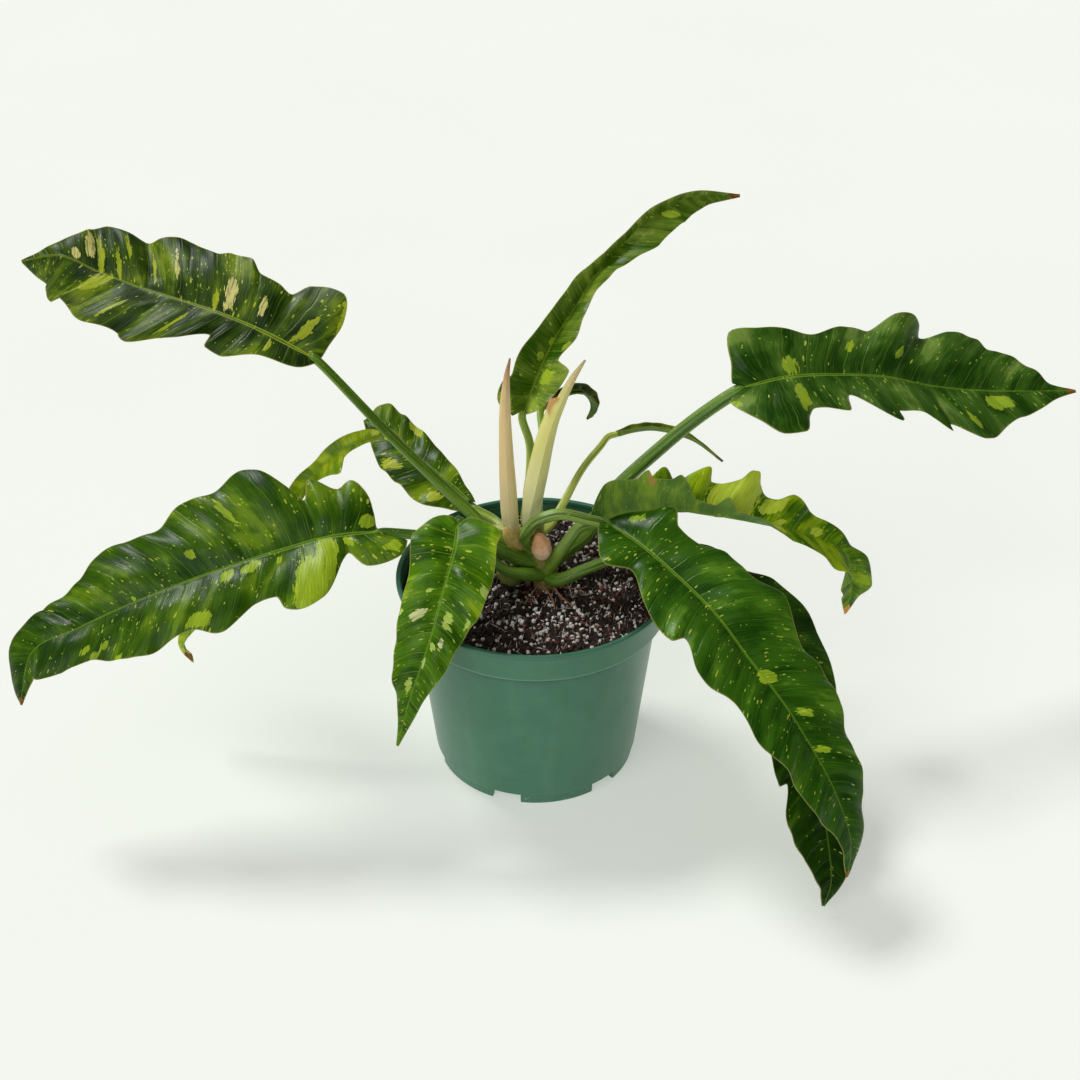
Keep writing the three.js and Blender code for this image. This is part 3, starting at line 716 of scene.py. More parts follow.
            (-195, 12, 97), (-215, 10, 72), (-211, 8, 55)),
        face=((0, -0.3, -0.5, 0.8), (1, -0.5, -0.5, 0.7)),
        lift=(((0, 30), (1, 20)), ((0, 30), (1, 20))),
        bend=(20, 20),
        left=((0, 2), (0.1, 4), (0.15, 6), (0.17, 18), (0.21, 12), (0.28, 6), (0.5, 8), (0.75, 7),
            (0.9, 5), (1, 1)),
        right=((0, 3), (0.05, 6), (0.1, 7), (0.22, 7), (0.3, 8), (0.45, 9), (0.7, 7), (0.9, 4),
            (1, 1)),
        stalk=((-2, 4, 150), (-14, 10, 151), (-28, 15, 150), (-47, 25, 164), (-72, 34, 186)),
        girth=(3, 2.2),
    ),
    Leaf(
        name="young_rolled",
        midrib=((50, 74, 179), (61, 80, 178), (73, 86, 175), (87, 92, 168), (101, 96, 159),
            (117, 98, 144)),
        face=((0, 0, -0.4, 0.9), (1, 0.2, -0.4, 0.9)),
        lift=(((0, 50), (1, 40)), ((0, 50), (1, 40))),
        bend=(-40, -40),
        left=((0, 2.5), (0.2, 4.5), (0.5, 4.5), (0.65, 3.5), (0.8, 2), (1, 1)),
        right=((0, 2.5), (0.2, 5), (0.5, 5), (0.65, 3.5), (0.8, 2), (1, 1)),
        stalk=((-2, 3, 150), (10, 13, 155), (27, 43, 171), (39, 60, 178)),
        girth=(2.8, 2),
    ),
)

SHEATHS = (
    Leaf(
        name="sheath_tan",
        midrib=((-8, 3, 147), (-14, -1, 161), (-16, -1, 191), (-17, 0, 232), (-16, 2, 256),
            (-14, 4, 269)),
        face=((0, 0, -1, 0.1), (1, 0, -1, 0.1)),
        lift=(((0, -5), (1, -5)), ((0, -5), (1, -5))),
        bend=(100, 100),
        left=((0, 6), (0.12, 9), (0.3, 10), (0.6, 7), (0.85, 3), (1, 1)),
        right=((0, 5), (0.12, 7), (0.3, 10), (0.6, 7), (0.85, 3), (1, 1)),
    ),
    Leaf(
        name="sheath_cream",
        midrib=((-3, -2, 155), (-4, -1, 165), (2, 3, 194), (8, 8, 219), (15, 12, 237),
            (21, 15, 249), (28, 18, 260)),
        face=((0, 0.1, -1, 0.1), (1, 0.1, -1, 0.1)),
        lift=(((0, -8), (1, -8)), ((0, -8), (1, -8))),
        bend=(60, 60),
        left=((0, 3), (0.15, 4.5), (0.3, 9), (0.55, 8), (0.6, 9), (0.66, 4.5), (0.85, 3), (1, 1)),
        right=((0, 4), (0.1, 7), (0.2, 10), (0.4, 8.5), (0.6, 6), (0.8, 4), (1, 1)),
    ),
)


@dataclass
class Blade:
    """A blade's two faces on one grid, with its midrib, cushions between veins and frill.

    Args:
        leaf: its lines.
        prefix: what the object's name starts with.
        rows: points along it.
        half: points from the midrib to a margin.
        thickness: thickness inside the margin.
        ridge: half width, height above and height below of the midrib at the base.
        cushion: height of the cushions between lateral veins.
        pitch: distance between those veins.
        frill: height of the small waves at the margin.
        ripple: height of the large waves at the margin.
        lobe: how far each lobe bulges up and each notch dips, by its width.
        bow: how far the lateral veins curve towards the tip.
        pleat: height of the broad cushions between the deep valleys.
        patches: its patches of other colours.
        valleys: distance between the deep valleys.
        swell: height of each of its random swells.
        bulge: limit of the height that its lobes add.
        reach: width of the midrib's foot, as a share of its half width.
    """

    leaf: Leaf
    prefix: str = "leaf"
    rows: int = 210
    half: int = 24
    thickness: float = 0.62
    ridge: tuple[float, float, float] = (1.9, 0.45, 1.5)
    cushion: float = 0.16
    pitch: float = 10.5
    frill: float = 0.5
    ripple: float = 1.4
    lobe: float = 0.3
    bow: float = 0.2
    pleat: float = 1.5
    patches: tuple[Patch, ...] = ()
    valleys: float = 33.0
    swell: float = 0.42
    bulge: float = 3.2
    reach: float = 1.7

    def frame(self, t: np.ndarray) -> tuple[np.ndarray, np.ndarray, np.ndarray, np.ndarray]:
        """The midrib's points with their directions.

        Args:
            t: shares of length.

        Returns:
            Points, tangents, directions of the upper side and directions to the left.
        """
        route = Route(self.leaf.midrib)
        tangent = route.directions(t)
        table = np.array(self.leaf.face, float)
        face = np.stack([np.interp(t, table[:, 0], table[:, k]) for k in (1, 2, 3)], -1)
        normal = unit(face - (face * tangent).sum(-1, keepdims=True) * tangent)
        return route.at(t), tangent, normal, np.cross(normal, tangent)

    def widths(self, t: np.ndarray) -> tuple[np.ndarray, np.ndarray]:
        """Half widths at the left and at the right."""
        return monotone(self.leaf.left, t), monotone(self.leaf.right, t)

    def grid(self, t: np.ndarray) -> tuple[np.ndarray, np.ndarray]:
        """Shares across, from margin to margin, and the half width at each grid point."""
        left, right = self.widths(t)
        inner = np.linspace(0, 1, self.half) ** 1.3
        lines = []
        for width, sign in ((right, -1), (left, 1)):
            brim = np.clip(0.28 / width, 0.004, 0.12)[:, None]
            line = np.concatenate([inner[None] * (1 - brim), np.ones((len(t), 1))], 1) * sign
            lines.append(line)
        across = np.concatenate([lines[0][:, :0:-1], lines[1]], 1)
        width = np.where(across < 0, right[:, None], left[:, None])
        return across, width

    def middle(self, t: np.ndarray, across: np.ndarray, width: np.ndarray) -> np.ndarray:
        """Points of the middle surface.

        Args:
            t: shares of length, one per row.
            across: shares across.
            width: half widths.

        Returns:
            The points, rows by columns.
        """
        origin, tangent, normal, left = (v[:, None] for v in self.frame(t))
        reach, sign = np.abs(across), np.sign(across)
        sweep = np.radians(monotone(VEIN_SWEEP, t))[:, None, None]
        out = left * (sign[..., None] * np.cos(sweep)) + tangent * np.sin(sweep)
        pick = across < 0
        lift_left, lift_right = (straight(rows, t)[:, None] for rows in self.leaf.lift)
        lift = np.radians(np.where(pick, lift_right, lift_left))
        bend = np.radians(np.where(pick, self.leaf.bend[1], self.leaf.bend[0])) * reach
        arc = np.sinc(bend / (2 * math.pi))
        distance = width * reach
        run, rise = np.cos(lift - bend / 2) * arc, np.sin(lift - bend / 2) * arc
        phase = np.where(pick, 0, 2.1)
        share = t[:, None]
        small = np.minimum(1, width / 25)
        wave = self.ripple * np.sin(2 * math.pi * MARGIN_WAVES * share + phase) * reach**2 * small
        points = origin + out * (distance * run)[..., None]
        points = points - tangent * (self.bow * distance * (1 - reach))[..., None]
        height = distance * rise + wave + self.relief(share, across, width)
        return points + normal * height[..., None]

    def relief(self, t: np.ndarray, across: np.ndarray, width: np.ndarray) -> np.ndarray:
        """Height of the cushions, swells and frill over the middle surface."""
        total = Route(self.leaf.midrib).total()
        along, reach = t * total, np.abs(across)
        distance = across * width
        seed = sum(map(ord, self.leaf.name))
        rng = np.random.default_rng(seed)
        small = np.minimum(1, width / 22)
        side = np.where(across < 0, 0.5, 0.0)
        slack = 1 + 0.4 * np.sin(along / 31 + seed)
        veins = -np.cos(2 * math.pi * (along / self.pitch + side))
        inside = np.clip(reach / 0.18, 0, 1) * np.clip((1 - reach) / 0.25, 0, 1)
        height = self.cushion * veins * inside * slack
        for _ in range(5):
            u, v = rng.uniform(0.05, 0.17), rng.uniform(-0.1, 0.1)
            turn = rng.uniform(0, 2 * math.pi)
            wave = np.sin(u * along + v * distance + turn)
            height += self.swell * small * wave * np.clip(reach / 0.3, 0, 1)
        for pitch in (17.0, 27.0):
            turn = rng.uniform(0, 2 * math.pi) + 3 * side
            wave = np.sin(2 * math.pi * along / pitch + turn + 0.6 * np.sin(along / 23))
            height += self.frill * wave * reach**2.6 * small
        window = np.hanning(2 * (len(t) // 9) + 1)[:, None]
        padded = np.pad(width, ((len(window) // 2, len(window) // 2), (0, 0)), "edge")
        spans = (padded[i : i + len(window)] for i in range(len(t)))
        even = np.stack([(span * window).sum(0) for span in spans]) / window.sum()
        phase = along / self.valleys + side + 0.18 * np.sin(along / 27 + seed)
        valley = np.abs(np.sin(math.pi * phase)) ** 0.7
        deep = np.clip((reach - 0.08) / 0.3, 0, 1) * (1 - 0.45 * reach**2) * small
        height += self.pleat * (valley - 0.65) * deep
        lobes = np.tanh(self.lobe * (width - even) / self.bulge)
        return height + self.bulge * lobes * reach**1.1

    def piece(self) -> Piece:
        """Returns the blade as a closed piece with its places stored."""
        route = Route(self.leaf.midrib)
        t = route.even(self.rows)
        along = route.lengths(t)
        across, width = self.grid(t)
        points = self.middle(t, across, width)
        normal = unit(np.cross(np.gradient(points, axis=0), np.gradient(points, axis=1)))
        slope = np.gradient(width, axis=0) / np.gradient(along)[:, None]
        edge = (1 - np.abs(across)) * width / np.sqrt(1 + slope**2)
        half, top, under = (v * (1 - 0.75 * t)[:, None] for v in self.ridge)
        distance = np.abs(across) * width
        rib = np.cos(np.minimum(distance / (self.reach * half), 1) * math.pi / 2) ** 2
        skin = self.thickness / 2 * np.clip(0.3 + edge / 2.2, 0, 1)
        upper = points + normal * (skin + top * rib)[..., None]
        lower = points - normal * (skin + under * rib)[..., None]
        rows, columns = across.shape
        vertices = np.concatenate([upper.reshape(-1, 3), lower.reshape(-1, 3)])
        offset = 137.0 * (sum(map(ord, self.leaf.name)) % 29)
        share = np.broadcast_to(t[:, None], across.shape)
        run = np.broadcast_to(along[:, None] + offset, across.shape)
        metric = np.stack([run, across * width, edge], -1)
        place = np.stack([share, across, width], -1)
        tint = np.stack([self.tint(share, across, kind) for kind in Tint], -1)
        stored = {"metric": metric, "leaf": place, "tint": tint}
        both = {key: np.concatenate([v.reshape(-1, 3)] * 2) for key, v in stored.items()}
        side = np.repeat([0.0, 1.0], rows * columns)
        faces = sheet_faces(rows, columns)
        return Piece(f"{self.prefix}_{self.leaf.name}", vertices, faces, both, {"under": side})

    def tint(self, t: np.ndarray, across: np.ndarray, kind: Tint) -> np.ndarray:
        """The strongest cover by patches of one tint."""
        covers = [p.cover(t, across) for p in self.patches if p.tint is kind]
        return np.max(covers, axis=0) if covers else np.zeros(across.shape)


def sheet_faces(rows: int, columns: int) -> list[tuple[int, ...]]:
    """Faces of two grids, one over the other, and of the rim between them."""
    base = rows * columns
    faces = []
    for i in range(rows - 1):
        for k in range(columns - 1):
            a = i * columns + k
            b, c, d = a + 1, a + columns + 1, a + columns
            faces.append((a, d, c, b))
            faces.append((base + a, base + b, base + c, base + d))
    rim = list(range(columns - 1))
    rim += [i * columns + columns - 1 for i in range(rows - 1)]
    rim += [(rows - 1) * columns + k for k in range(columns - 1, 0, -1)]
    rim += [i * columns for i in range(rows - 1, 0, -1)]
    for a, b in zip(rim, rim[1:] + rim[:1]):
        faces.append((a, b, base + b, base + a))
    return faces


@dataclass
class Stalk:
    """A petiole from the stem into the underside of its blade's midrib.

    Args:
        leaf: the leaf that it carries.
        step: distance between rings.
        sides: points around.
        sheathing: how much wider the base is.
        tail: how far it runs on under the midrib, thinning to a point.
    """

    leaf: Leaf
    step: float = 1.1
    sides: int = 30
    sheathing: float = 0.22
    tail: float = 26.0

    def piece(self) -> Piece:
        """Returns the petiole as a piece."""
        start, end = self.leaf.girth
        blade = Blade(self.leaf)
        total = Route(self.leaf.midrib).total()
        marks = np.array([0, 0, self.tail / 2 / total, self.tail / total])
        origin, tangent, normal, _ = blade.frame(marks)
        shift = np.array([-6, 3, 0, 0])[:, None] * tangent
        sink = np.array([end - 0.4, end - 0.9, 1.5, 1.3])[:, None] * normal
        tail = origin + shift - sink
        line = Route([*self.leaf.stalk, *tail.tolist()])
        length = line.total()
        solid = length - self.tail

        def radius(share: np.ndarray) -> np.ndarray:
            """Radius by share of length."""
            along = share * length
            body = end + (start - end) * (1 - np.minimum(along / solid, 1)) ** 2
            fade = np.clip((along - solid + 2) / self.tail, 0, 1)
            fade = fade * fade * (3 - 2 * fade)
            return body * (1 - fade) + 0.7 * fade

        def section(share: np.ndarray, angle: np.ndarray) -> np.ndarray:
            """Grooved top, soft shoulders and faint ribs."""
            base = self.sheathing * np.exp(-share * length / 14) * np.abs(np.sin(angle))
            groove = -0.15 * np.exp(-((angle / 0.5) ** 2))
            shoulder = 0.06 * np.exp(-(((np.abs(angle) - 0.85) / 0.3) ** 2))
            ribs = 0.018 * np.cos(11 * angle + 0.4)
            return 1 + base + groove + shoulder + ribs

        up = normal[0].tolist()
        name = f"stalk_{self.leaf.name}"
        return Bar(name, line, radius, up, section, self.step, self.sides).piece()


# Finishes


@dataclass(frozen=True)
class BladeFinish:
    """The glossy skin of a blade, with its veins, marbling, flecks and patches.

    Args:
        deep: darkest green.
        green: usual green.
        bright: green of the light sectors.
        lime: patches of lime.
        cream: patches of pale yellow.
        rust: patches of orange or brown.
        fleck: small dots and dashes.
        rib: midrib.
        flecks: share of the small cells that have a dot or a dash.
        blotches: share of the large cells that have a jagged blotch.
        light: how much of the blade is light, from 0 to 1.
        gloss: roughness of the upper side.
    """

    deep: str
    green: str
    bright: str
    lime: str = "a9c42a"
    cream: str = "dcd285"
    rust: str = "84501e"
    fleck: str = "c3d24e"
    rib: str = "7fa52c"
    flecks: float = 0.2
    blotches: float = 0.05
    light: float = 0.3
    gloss: float = 0.31

    def material(self, name: str) -> bpy.types.Material:
        """Returns the blade's material.

        Args:
            name: the material's name.
        """
        sh = Shade(name)
        along, across, edge = sh.attribute("metric").parts()
        share, _, _ = sh.attribute("leaf").parts()
        lime, cream, rust = sh.attribute("tint").parts()
        under = sh.level("under")
        side = across.rise(-0.01, 0.01) * 40.0
        drift = sh.noise(sh.vector(along * 0.06, across * 0.06, side), 1.0, 2.0) - 0.5
        run = along + drift * 3.5
        cloud = sh.noise(sh.vector(along * 0.034, across * 0.04, side + 4.0), 1.0, 3.0)
        band = sh.noise(sh.vector(run * 0.1, across * 0.022, side), 1.0, 3.0, 0.55)
        silk = sh.noise(sh.vector(run * 1.5, across * 0.08, side), 1.0, 3.0, 0.6)
        ragged = sh.noise(sh.vector(run * 0.3, across * 0.12, side + 9.0), 1.0, 5.0, 0.7)
        saw = sh.noise(sh.vector(run * 0.85, across * 0.1, side + 15.0), 1.0, 3.0, 0.6)
        torn = (ragged * 0.6 + saw * 0.4 - 0.5) * 3.2
        main = abs((run * (1 / 11.5) + side * (0.5 / 40.0)).fraction() - 0.5)
        fine = abs((run * (1 / 1.7)).fraction() - 0.5)

        outer = abs(across).rise(1.0, 30.0) - 0.5
        tone = band * 0.5 + cloud * 0.35 + silk * 0.15 + outer * 0.05
        color = sh.blend(tone.rise(0.4, 0.53), rgb(self.deep), rgb(self.green))
        low = 0.62 - 0.2 * self.light
        color = sh.blend(tone.rise(low - 0.04, low + 0.07), color, rgb(self.bright))
        color = sh.blend(fine.fall(0.0, 0.25) * silk.rise(0.4, 0.6) * 0.16, color, rgb(self.bright))
        vein = main.fall(0.006, 0.03) * silk.rise(0.3, 0.55) * 0.4
        color = sh.blend(vein, color, rgb(self.bright))

        crowd = cloud.rise(0.36, 0.6) * 1.5 + 0.15
        wobble = (ragged - 0.5) * 0.55
        crowded = self.flecks * crowd
        dot = sh.spots(sh.vector(run / 3.1 + wobble, across / 3.4, 0.0), crowded * 0.6, 0.15)
        dash = sh.spots(sh.vector(run / 2.4 + 31.0, across / 7.5, 0.0), crowded, 0.19)
        long = sh.spots(sh.vector(run / 5.0 + 57.0, across / 19.0, 0.0), crowded * 0.8, 0.13)
        coarse = sh.vector(run / 19.0 + torn * 0.14, across / 26.0 + torn * 0.1, 0.0)
        jag = sh.spots(coarse, self.blotches, 0.3)
        marks = dot.larger(dash).larger(long)
        patch = (lime + torn * lime.rise(0.05, 0.4) * 0.8).rise(0.49, 0.51).larger(jag)
        pale = (cream + torn * cream.rise(0.05, 0.4) * 0.8).rise(0.49, 0.52)
        pale = pale * (0.3 + 0.7 * saw.rise(0.36, 0.52))
        burnt = (rust + (ragged - 0.5) * 0.7).rise(0.44, 0.6)
        inner = sh.blend(silk.rise(0.4, 0.62) * 0.5, rgb(self.lime), rgb(self.bright))
        color = sh.blend(patch * (0.75 + 0.25 * band.rise(0.4, 0.55)), color, inner)
        milky = sh.blend(silk.rise(0.45, 0.6) * 0.4, rgb(self.cream), rgb(self.lime))
        color = sh.blend(pale, color, milky)
        strong = 0.4 + 0.5 * saw.rise(0.35, 0.6)
        color = sh.blend(marks * (1.0 - pale) * strong, color, rgb(self.fleck))
        color = sh.blend(edge.fall(0.25, 0.6) * 0.55, color, rgb("b3a95a"))
        color = sh.blend(burnt, color, rgb(self.rust))

        taper = 1.85 - share * 1.3
        rib = (abs(across) / taper).fall(0.7, 1.0)
        sides = abs(abs(across) / taper - 0.62).fall(0.0, 0.32)
        lit = sides * (0.7 - share * 0.45) + 0.25
        color = sh.blend(rib * lit, color, rgb(self.rib))
        back = sh.blend(0.45, color, rgb("6f9150"))
        color = sh.blend(under, color, back)

        ridge = main.fall(0.0, 0.06) * -0.14 + fine.fall(0.0, 0.3) * -0.02
        skin = sh.noise(sh.vector(along * 2.0, across * 1.1, side), 1.0, 2.0) * 0.035
        height = (ridge + skin + patch * -0.03) * (1.0 - rib)
        rough = under * 0.25 + (ragged - 0.5) * 0.1 + self.gloss + rib * 0.1
        return sh.finish(
            {
                "Base Color": color,
                "Roughness": rough,
                "Normal": sh.bump(height),
                "IOR": 1.36,
                "Specular IOR Level": 0.25,
            }
        )


@dataclass(frozen=True)
class StalkFinish:
    """The satin skin of a petiole, with lengthwise streaks and small pale specks.

    Args:
        dark: darker streaks.
        light: lighter streaks.
        base: colour near the stem.
        speck: small specks.
    """

    dark: str
    light: str
    base: str
    speck: str = "c9cf84"

    def material(self, name: str) -> bpy.types.Material:
        """Returns the petiole's material.

        Args:
            name: the material's name.
        """
        sh = Shade(name)
        along, x, y = sh.attribute("span").parts()
        streak = sh.noise(sh.vector(x * 0.55, y * 0.55, along * 0.012), 1.0, 2.0, 0.5)
        fine = sh.noise(sh.vector(x * 2.6, y * 2.6, along * 0.03), 1.0, 2.0)
        tone = streak * 0.65 + fine * 0.35
        color = sh.blend(tone.rise(0.4, 0.6), rgb(self.dark), rgb(self.light))
        color = sh.blend(fine.rise(0.55, 0.64) * 0.5, color, rgb(self.light))
        color = sh.blend(fine.fall(0.36, 0.44) * 0.4, color, rgb(self.dark))
        color = sh.blend(along.fall(6.0, 40.0) * 0.55, color, rgb(self.base))
        speck = sh.noise(sh.vector(x * 1.3, y * 1.3, along * 0.42), 1.0, 1.0).rise(0.7, 0.73)
        color = sh.blend(speck * 0.5, color, rgb(self.speck))
        height = fine * 0.12 + sh.noise(sh.vector(x, y, along * 0.8), 1.5, 3.0) * 0.03
        return sh.finish(
            {
                "Base Color": color,
                "Roughness": 0.32 + (streak - 0.5) * 0.2,
                "Normal": sh.bump(height),
                "Specular IOR Level": 0.4,
            }
        )


@dataclass(frozen=True)
class SheathFinish:
    """The papery skin of a leaf sheath, with parallel veins.

    Args:
        name: the material's name.
        foot: colour at the base.
        body: colour of most of it.
        head: colour towards the tip.
        brim: colour of the dry margins and of the veins.
        flap: how strongly a dry orange flap shows halfway.
    """

    name: str
    foot: str
    body: str
    head: str
    brim: str
    flap: float = 0.0

    def material(self) -> bpy.types.Material:
        """Returns the sheath's material."""
        sh = Shade(self.name)
        along, across, edge = sh.attribute("metric").parts()
        share, reach, _ = sh.attribute("leaf").parts()
        drift = sh.noise(sh.vector(along * 0.03, across * 0.2, 0.0), 1.0, 3.0) - 0.5
        vein = abs(((reach * 9.0) + drift * 0.8).fraction() - 0.5)
        color = sh.blend((share + drift * 0.3).rise(0.1, 0.45), rgb(self.foot), rgb(self.body))
        color = sh.blend((share + drift * 0.4).rise(0.55, 0.98), color, rgb(self.head))
        color = sh.blend(vein.fall(0.0, 0.22) * 0.3, color, rgb(self.brim))
        color = sh.blend((edge + drift * 3.0).fall(0.2, 1.1) * 0.7, color, rgb(self.brim))
        flap = abs(share + (drift - 0.02) * 0.06 - 0.61).fall(0.04, 0.07) * reach.rise(0.25, 0.6)
        color = sh.blend(flap * self.flap, color, rgb("c8884a"))
        spot = sh.noise(sh.vector(along * 0.55, across * 0.9, 3.0), 1.0, 2.0).rise(0.73, 0.78)
        color = sh.blend(spot * 0.4, color, rgb("8a5a34"))
        height = vein.fall(0.0, 0.5) * -0.16 + drift * 0.2
        return sh.finish(
            {
                "Base Color": color,
                "Roughness": 0.46 + drift * 0.2,
                "Normal": sh.bump(height),
                "Coat Weight": 0.1,
                "Coat Roughness": 0.3,
            }
        )


@dataclass(frozen=True)
class StemFinish:
    """The matt skin of the stem, with its pink ring scars.

    Args:
        name: the material's name.
        pitch: distance between the ring scars, in millimetres.
    """

    name: str = "stem_skin"
    pitch: float = 4.6

    def material(self) -> bpy.types.Material:
        """Returns the stem's material."""
        sh = Shade(self.name)
        along, x, y = sh.attribute("span").parts()
        wander = sh.noise(sh.vector(x * 0.3, y * 0.3, along * 0.06), 1.0, 2.0) - 0.5
        ring = abs(((along + wander * 5.0) / self.pitch).fraction() - 0.5)
        mottle = sh.noise(sh.vector(x, y, along), 0.35, 5.0, 0.6)
        color = sh.blend(mottle.rise(0.38, 0.6), rgb("7d8436"), rgb("a8a04e"))
        color = sh.blend(mottle.rise(0.52, 0.7) * 0.6, color, rgb("8a5f38"))
        color = sh.blend(ring.fall(0.03, 0.12) * 0.9, color, rgb("d39a72"))
        color = sh.blend(along.fall(20.0, 34.0) * 0.7, color, rgb("4a3322"))
        height = ring.fall(0.0, 0.14) * 0.5 + mottle * 0.4
        return sh.finish(
            {"Base Color": color, "Roughness": 0.5 + mottle * 0.2, "Normal": sh.bump(height)}
        )


@dataclass(frozen=True)
class FleshFinish:
    """Soft living skin that goes from one colour to another, for buds, joints and roots.

    Args:
        name: the material's name.
        low: colour at the base.
        high: colour at the tip.
        stain: colour of its blotches.
        turn: distances in millimetres between which the colour turns.
    """

    name: str
    low: str
    high: str
    stain: str
    turn: tuple[float, float] = (2.0, 14.0)

    def material(self) -> bpy.types.Material:
        """Returns the skin's material."""
        sh = Shade(self.name)
        along, x, y = sh.attribute("span").parts()
        mottle = sh.noise(sh.vector(x, y, along), 0.5, 4.0, 0.6)
        grain = sh.noise(sh.vector(x * 2.6, y * 2.6, along * 0.4), 1.0, 3.0)
        turned = (along + (mottle - 0.5) * 6.0).rise(*self.turn)
        color = sh.blend(turned, rgb(self.low), rgb(self.high))
        color = sh.blend(mottle.rise(0.5, 0.68) * 0.55, color, rgb(self.stain))
        color = sh.blend(grain.rise(0.55, 0.7) * 0.25, color, rgb(self.low))
        return sh.finish(
            {
                "Base Color": color,
                "Roughness": 0.38 + mottle * 0.2,
                "Normal": sh.bump(grain * 0.18 + mottle * 0.2),
                "Coat Weight": 0.15,
                "Coat Roughness": 0.3,
            }
        )


@dataclass(frozen=True)
class GrainFinish:
    """One kind of particle in the potting mix.

    Args:
        name: the material's name.
        dark: darker colour.
        light: lighter colour.
        scale: texture features per metre.
        rough: roughness.
        pits: depth of the surface's pits, in millimetres.
    """

    name: str
    dark: str
    light: str
    scale: float
    rough: float = 0.8
    pits: float = 0.3

    def material(self) -> bpy.types.Material:
        """Returns the particle's material."""
        sh = Shade(self.name)
        where = sh.place()
        tone = sh.noise(where, self.scale * 0.25, 2.0)
        fine = sh.noise(where, self.scale, 4.0, 0.65)
        mixed = tone * 0.6 + fine * 0.4
        color = sh.blend(mixed.rise(0.38, 0.62), rgb(self.dark), rgb(self.light))
        height = fine * self.pits + sh.cells(where, self.scale * 1.6) * self.pits * 0.5
        rough = self.rough + (fine - 0.5) * 0.2
        return sh.finish({"Base Color": color, "Roughness": rough, "Normal": sh.bump(height)})


@dataclass(frozen=True)
class PotFinish:
    """Satin green moulded plastic, slightly mottled, dusty on its ledge and scuffed below, with
    painted shade and shadow lines at the lip and the ledge and a painted highlight line.

    Args:
        name: the material's name.
        body: lighter green.
        deep: darker green.
        painted_shadow: colour of the painted shade under the ledge and of the painted shadow lines
            under the lip and in the crease.
        lip: height in metres of the painted shadow line under the lip.
        crease: height of the crease between wall and ledge, and of the painted shadow line in it.
        shine: height of the painted highlight line over the crease.
    """

    name: str = "grower_pot_plastic"
    body: str = "487f64"
    deep: str = "40765b"
    painted_shadow: str = "1d4435"
    lip: float = 0.1247
    crease: float = 0.1066
    shine: float = 0.1079

    def material(self) -> bpy.types.Material:
        """Returns the pot's material."""
        sh = Shade(self.name)
        where = sh.place()
        x, y, z = where.parts()
        mottle = sh.noise(where, 60.0, 3.0, 0.6)
        cloud = sh.noise(where, 9.0, 2.0)
        flow = sh.noise(sh.vector(x * 60.0, y * 60.0, z * 7.0), 1.0, 3.0)
        tone = mottle * 0.4 + cloud * 0.6
        color = sh.blend(tone.rise(0.38, 0.62), rgb(self.deep), rgb(self.body))
        color = sh.blend(flow.rise(0.5, 0.75) * 0.08, color, rgb("86aa97"))
        # Painted shadow lines under the lip and in the crease, and painted shade darkening the wall
        # just under the ledge.
        lip = abs(z - self.lip).fall(0.0003, 0.0007)
        crease = abs(z - self.crease).fall(0.0002, 0.0008)
        shade = z.rise(0.0955, 0.1064) * z.fall(0.1068, 0.1072)
        color = sh.blend(shade ** 2.0 * 0.75, color, rgb(self.painted_shadow))
        color = sh.blend(lip.larger(crease) * 0.6, color, rgb(self.painted_shadow))
        # A painted highlight line just over the crease, where the ledge's lower edge catches the light.
        shine = abs(z - self.shine).fall(0.0002, 0.0009)
        color = sh.blend(shine * 0.3, color, rgb("86b49c"))
        dust = sh.noise(where, 420.0, 3.0, 0.7)
        ledge = z.rise(0.0985, 0.1) * z.fall(0.106, 0.1066)
        foot = z.fall(0.004, 0.012)
        dusty = dust.rise(0.56, 0.72) * (ledge * 0.12 + foot * 0.3 + 0.03)
        color = sh.blend(dusty, color, rgb("b9c4b6"))
        scratch = sh.noise(sh.vector(x * 35.0, y * 35.0, z * 900.0), 1.0, 2.0).rise(0.68, 0.72)
        color = sh.blend(scratch * 0.05, color, rgb("a9c4b4"))
        height = mottle * 0.03 + sh.noise(where, 1500.0, 2.0) * 0.012 + scratch * -0.01
        rough = 0.31 + (cloud - 0.5) * 0.06 + dust * 0.05
        skin = {"Base Color": color, "Roughness": rough, "Normal": sh.bump(height)}
        return sh.finish({**skin, "Specular IOR Level": 0.35})


# Crown: stem, bud, sheaths and roots


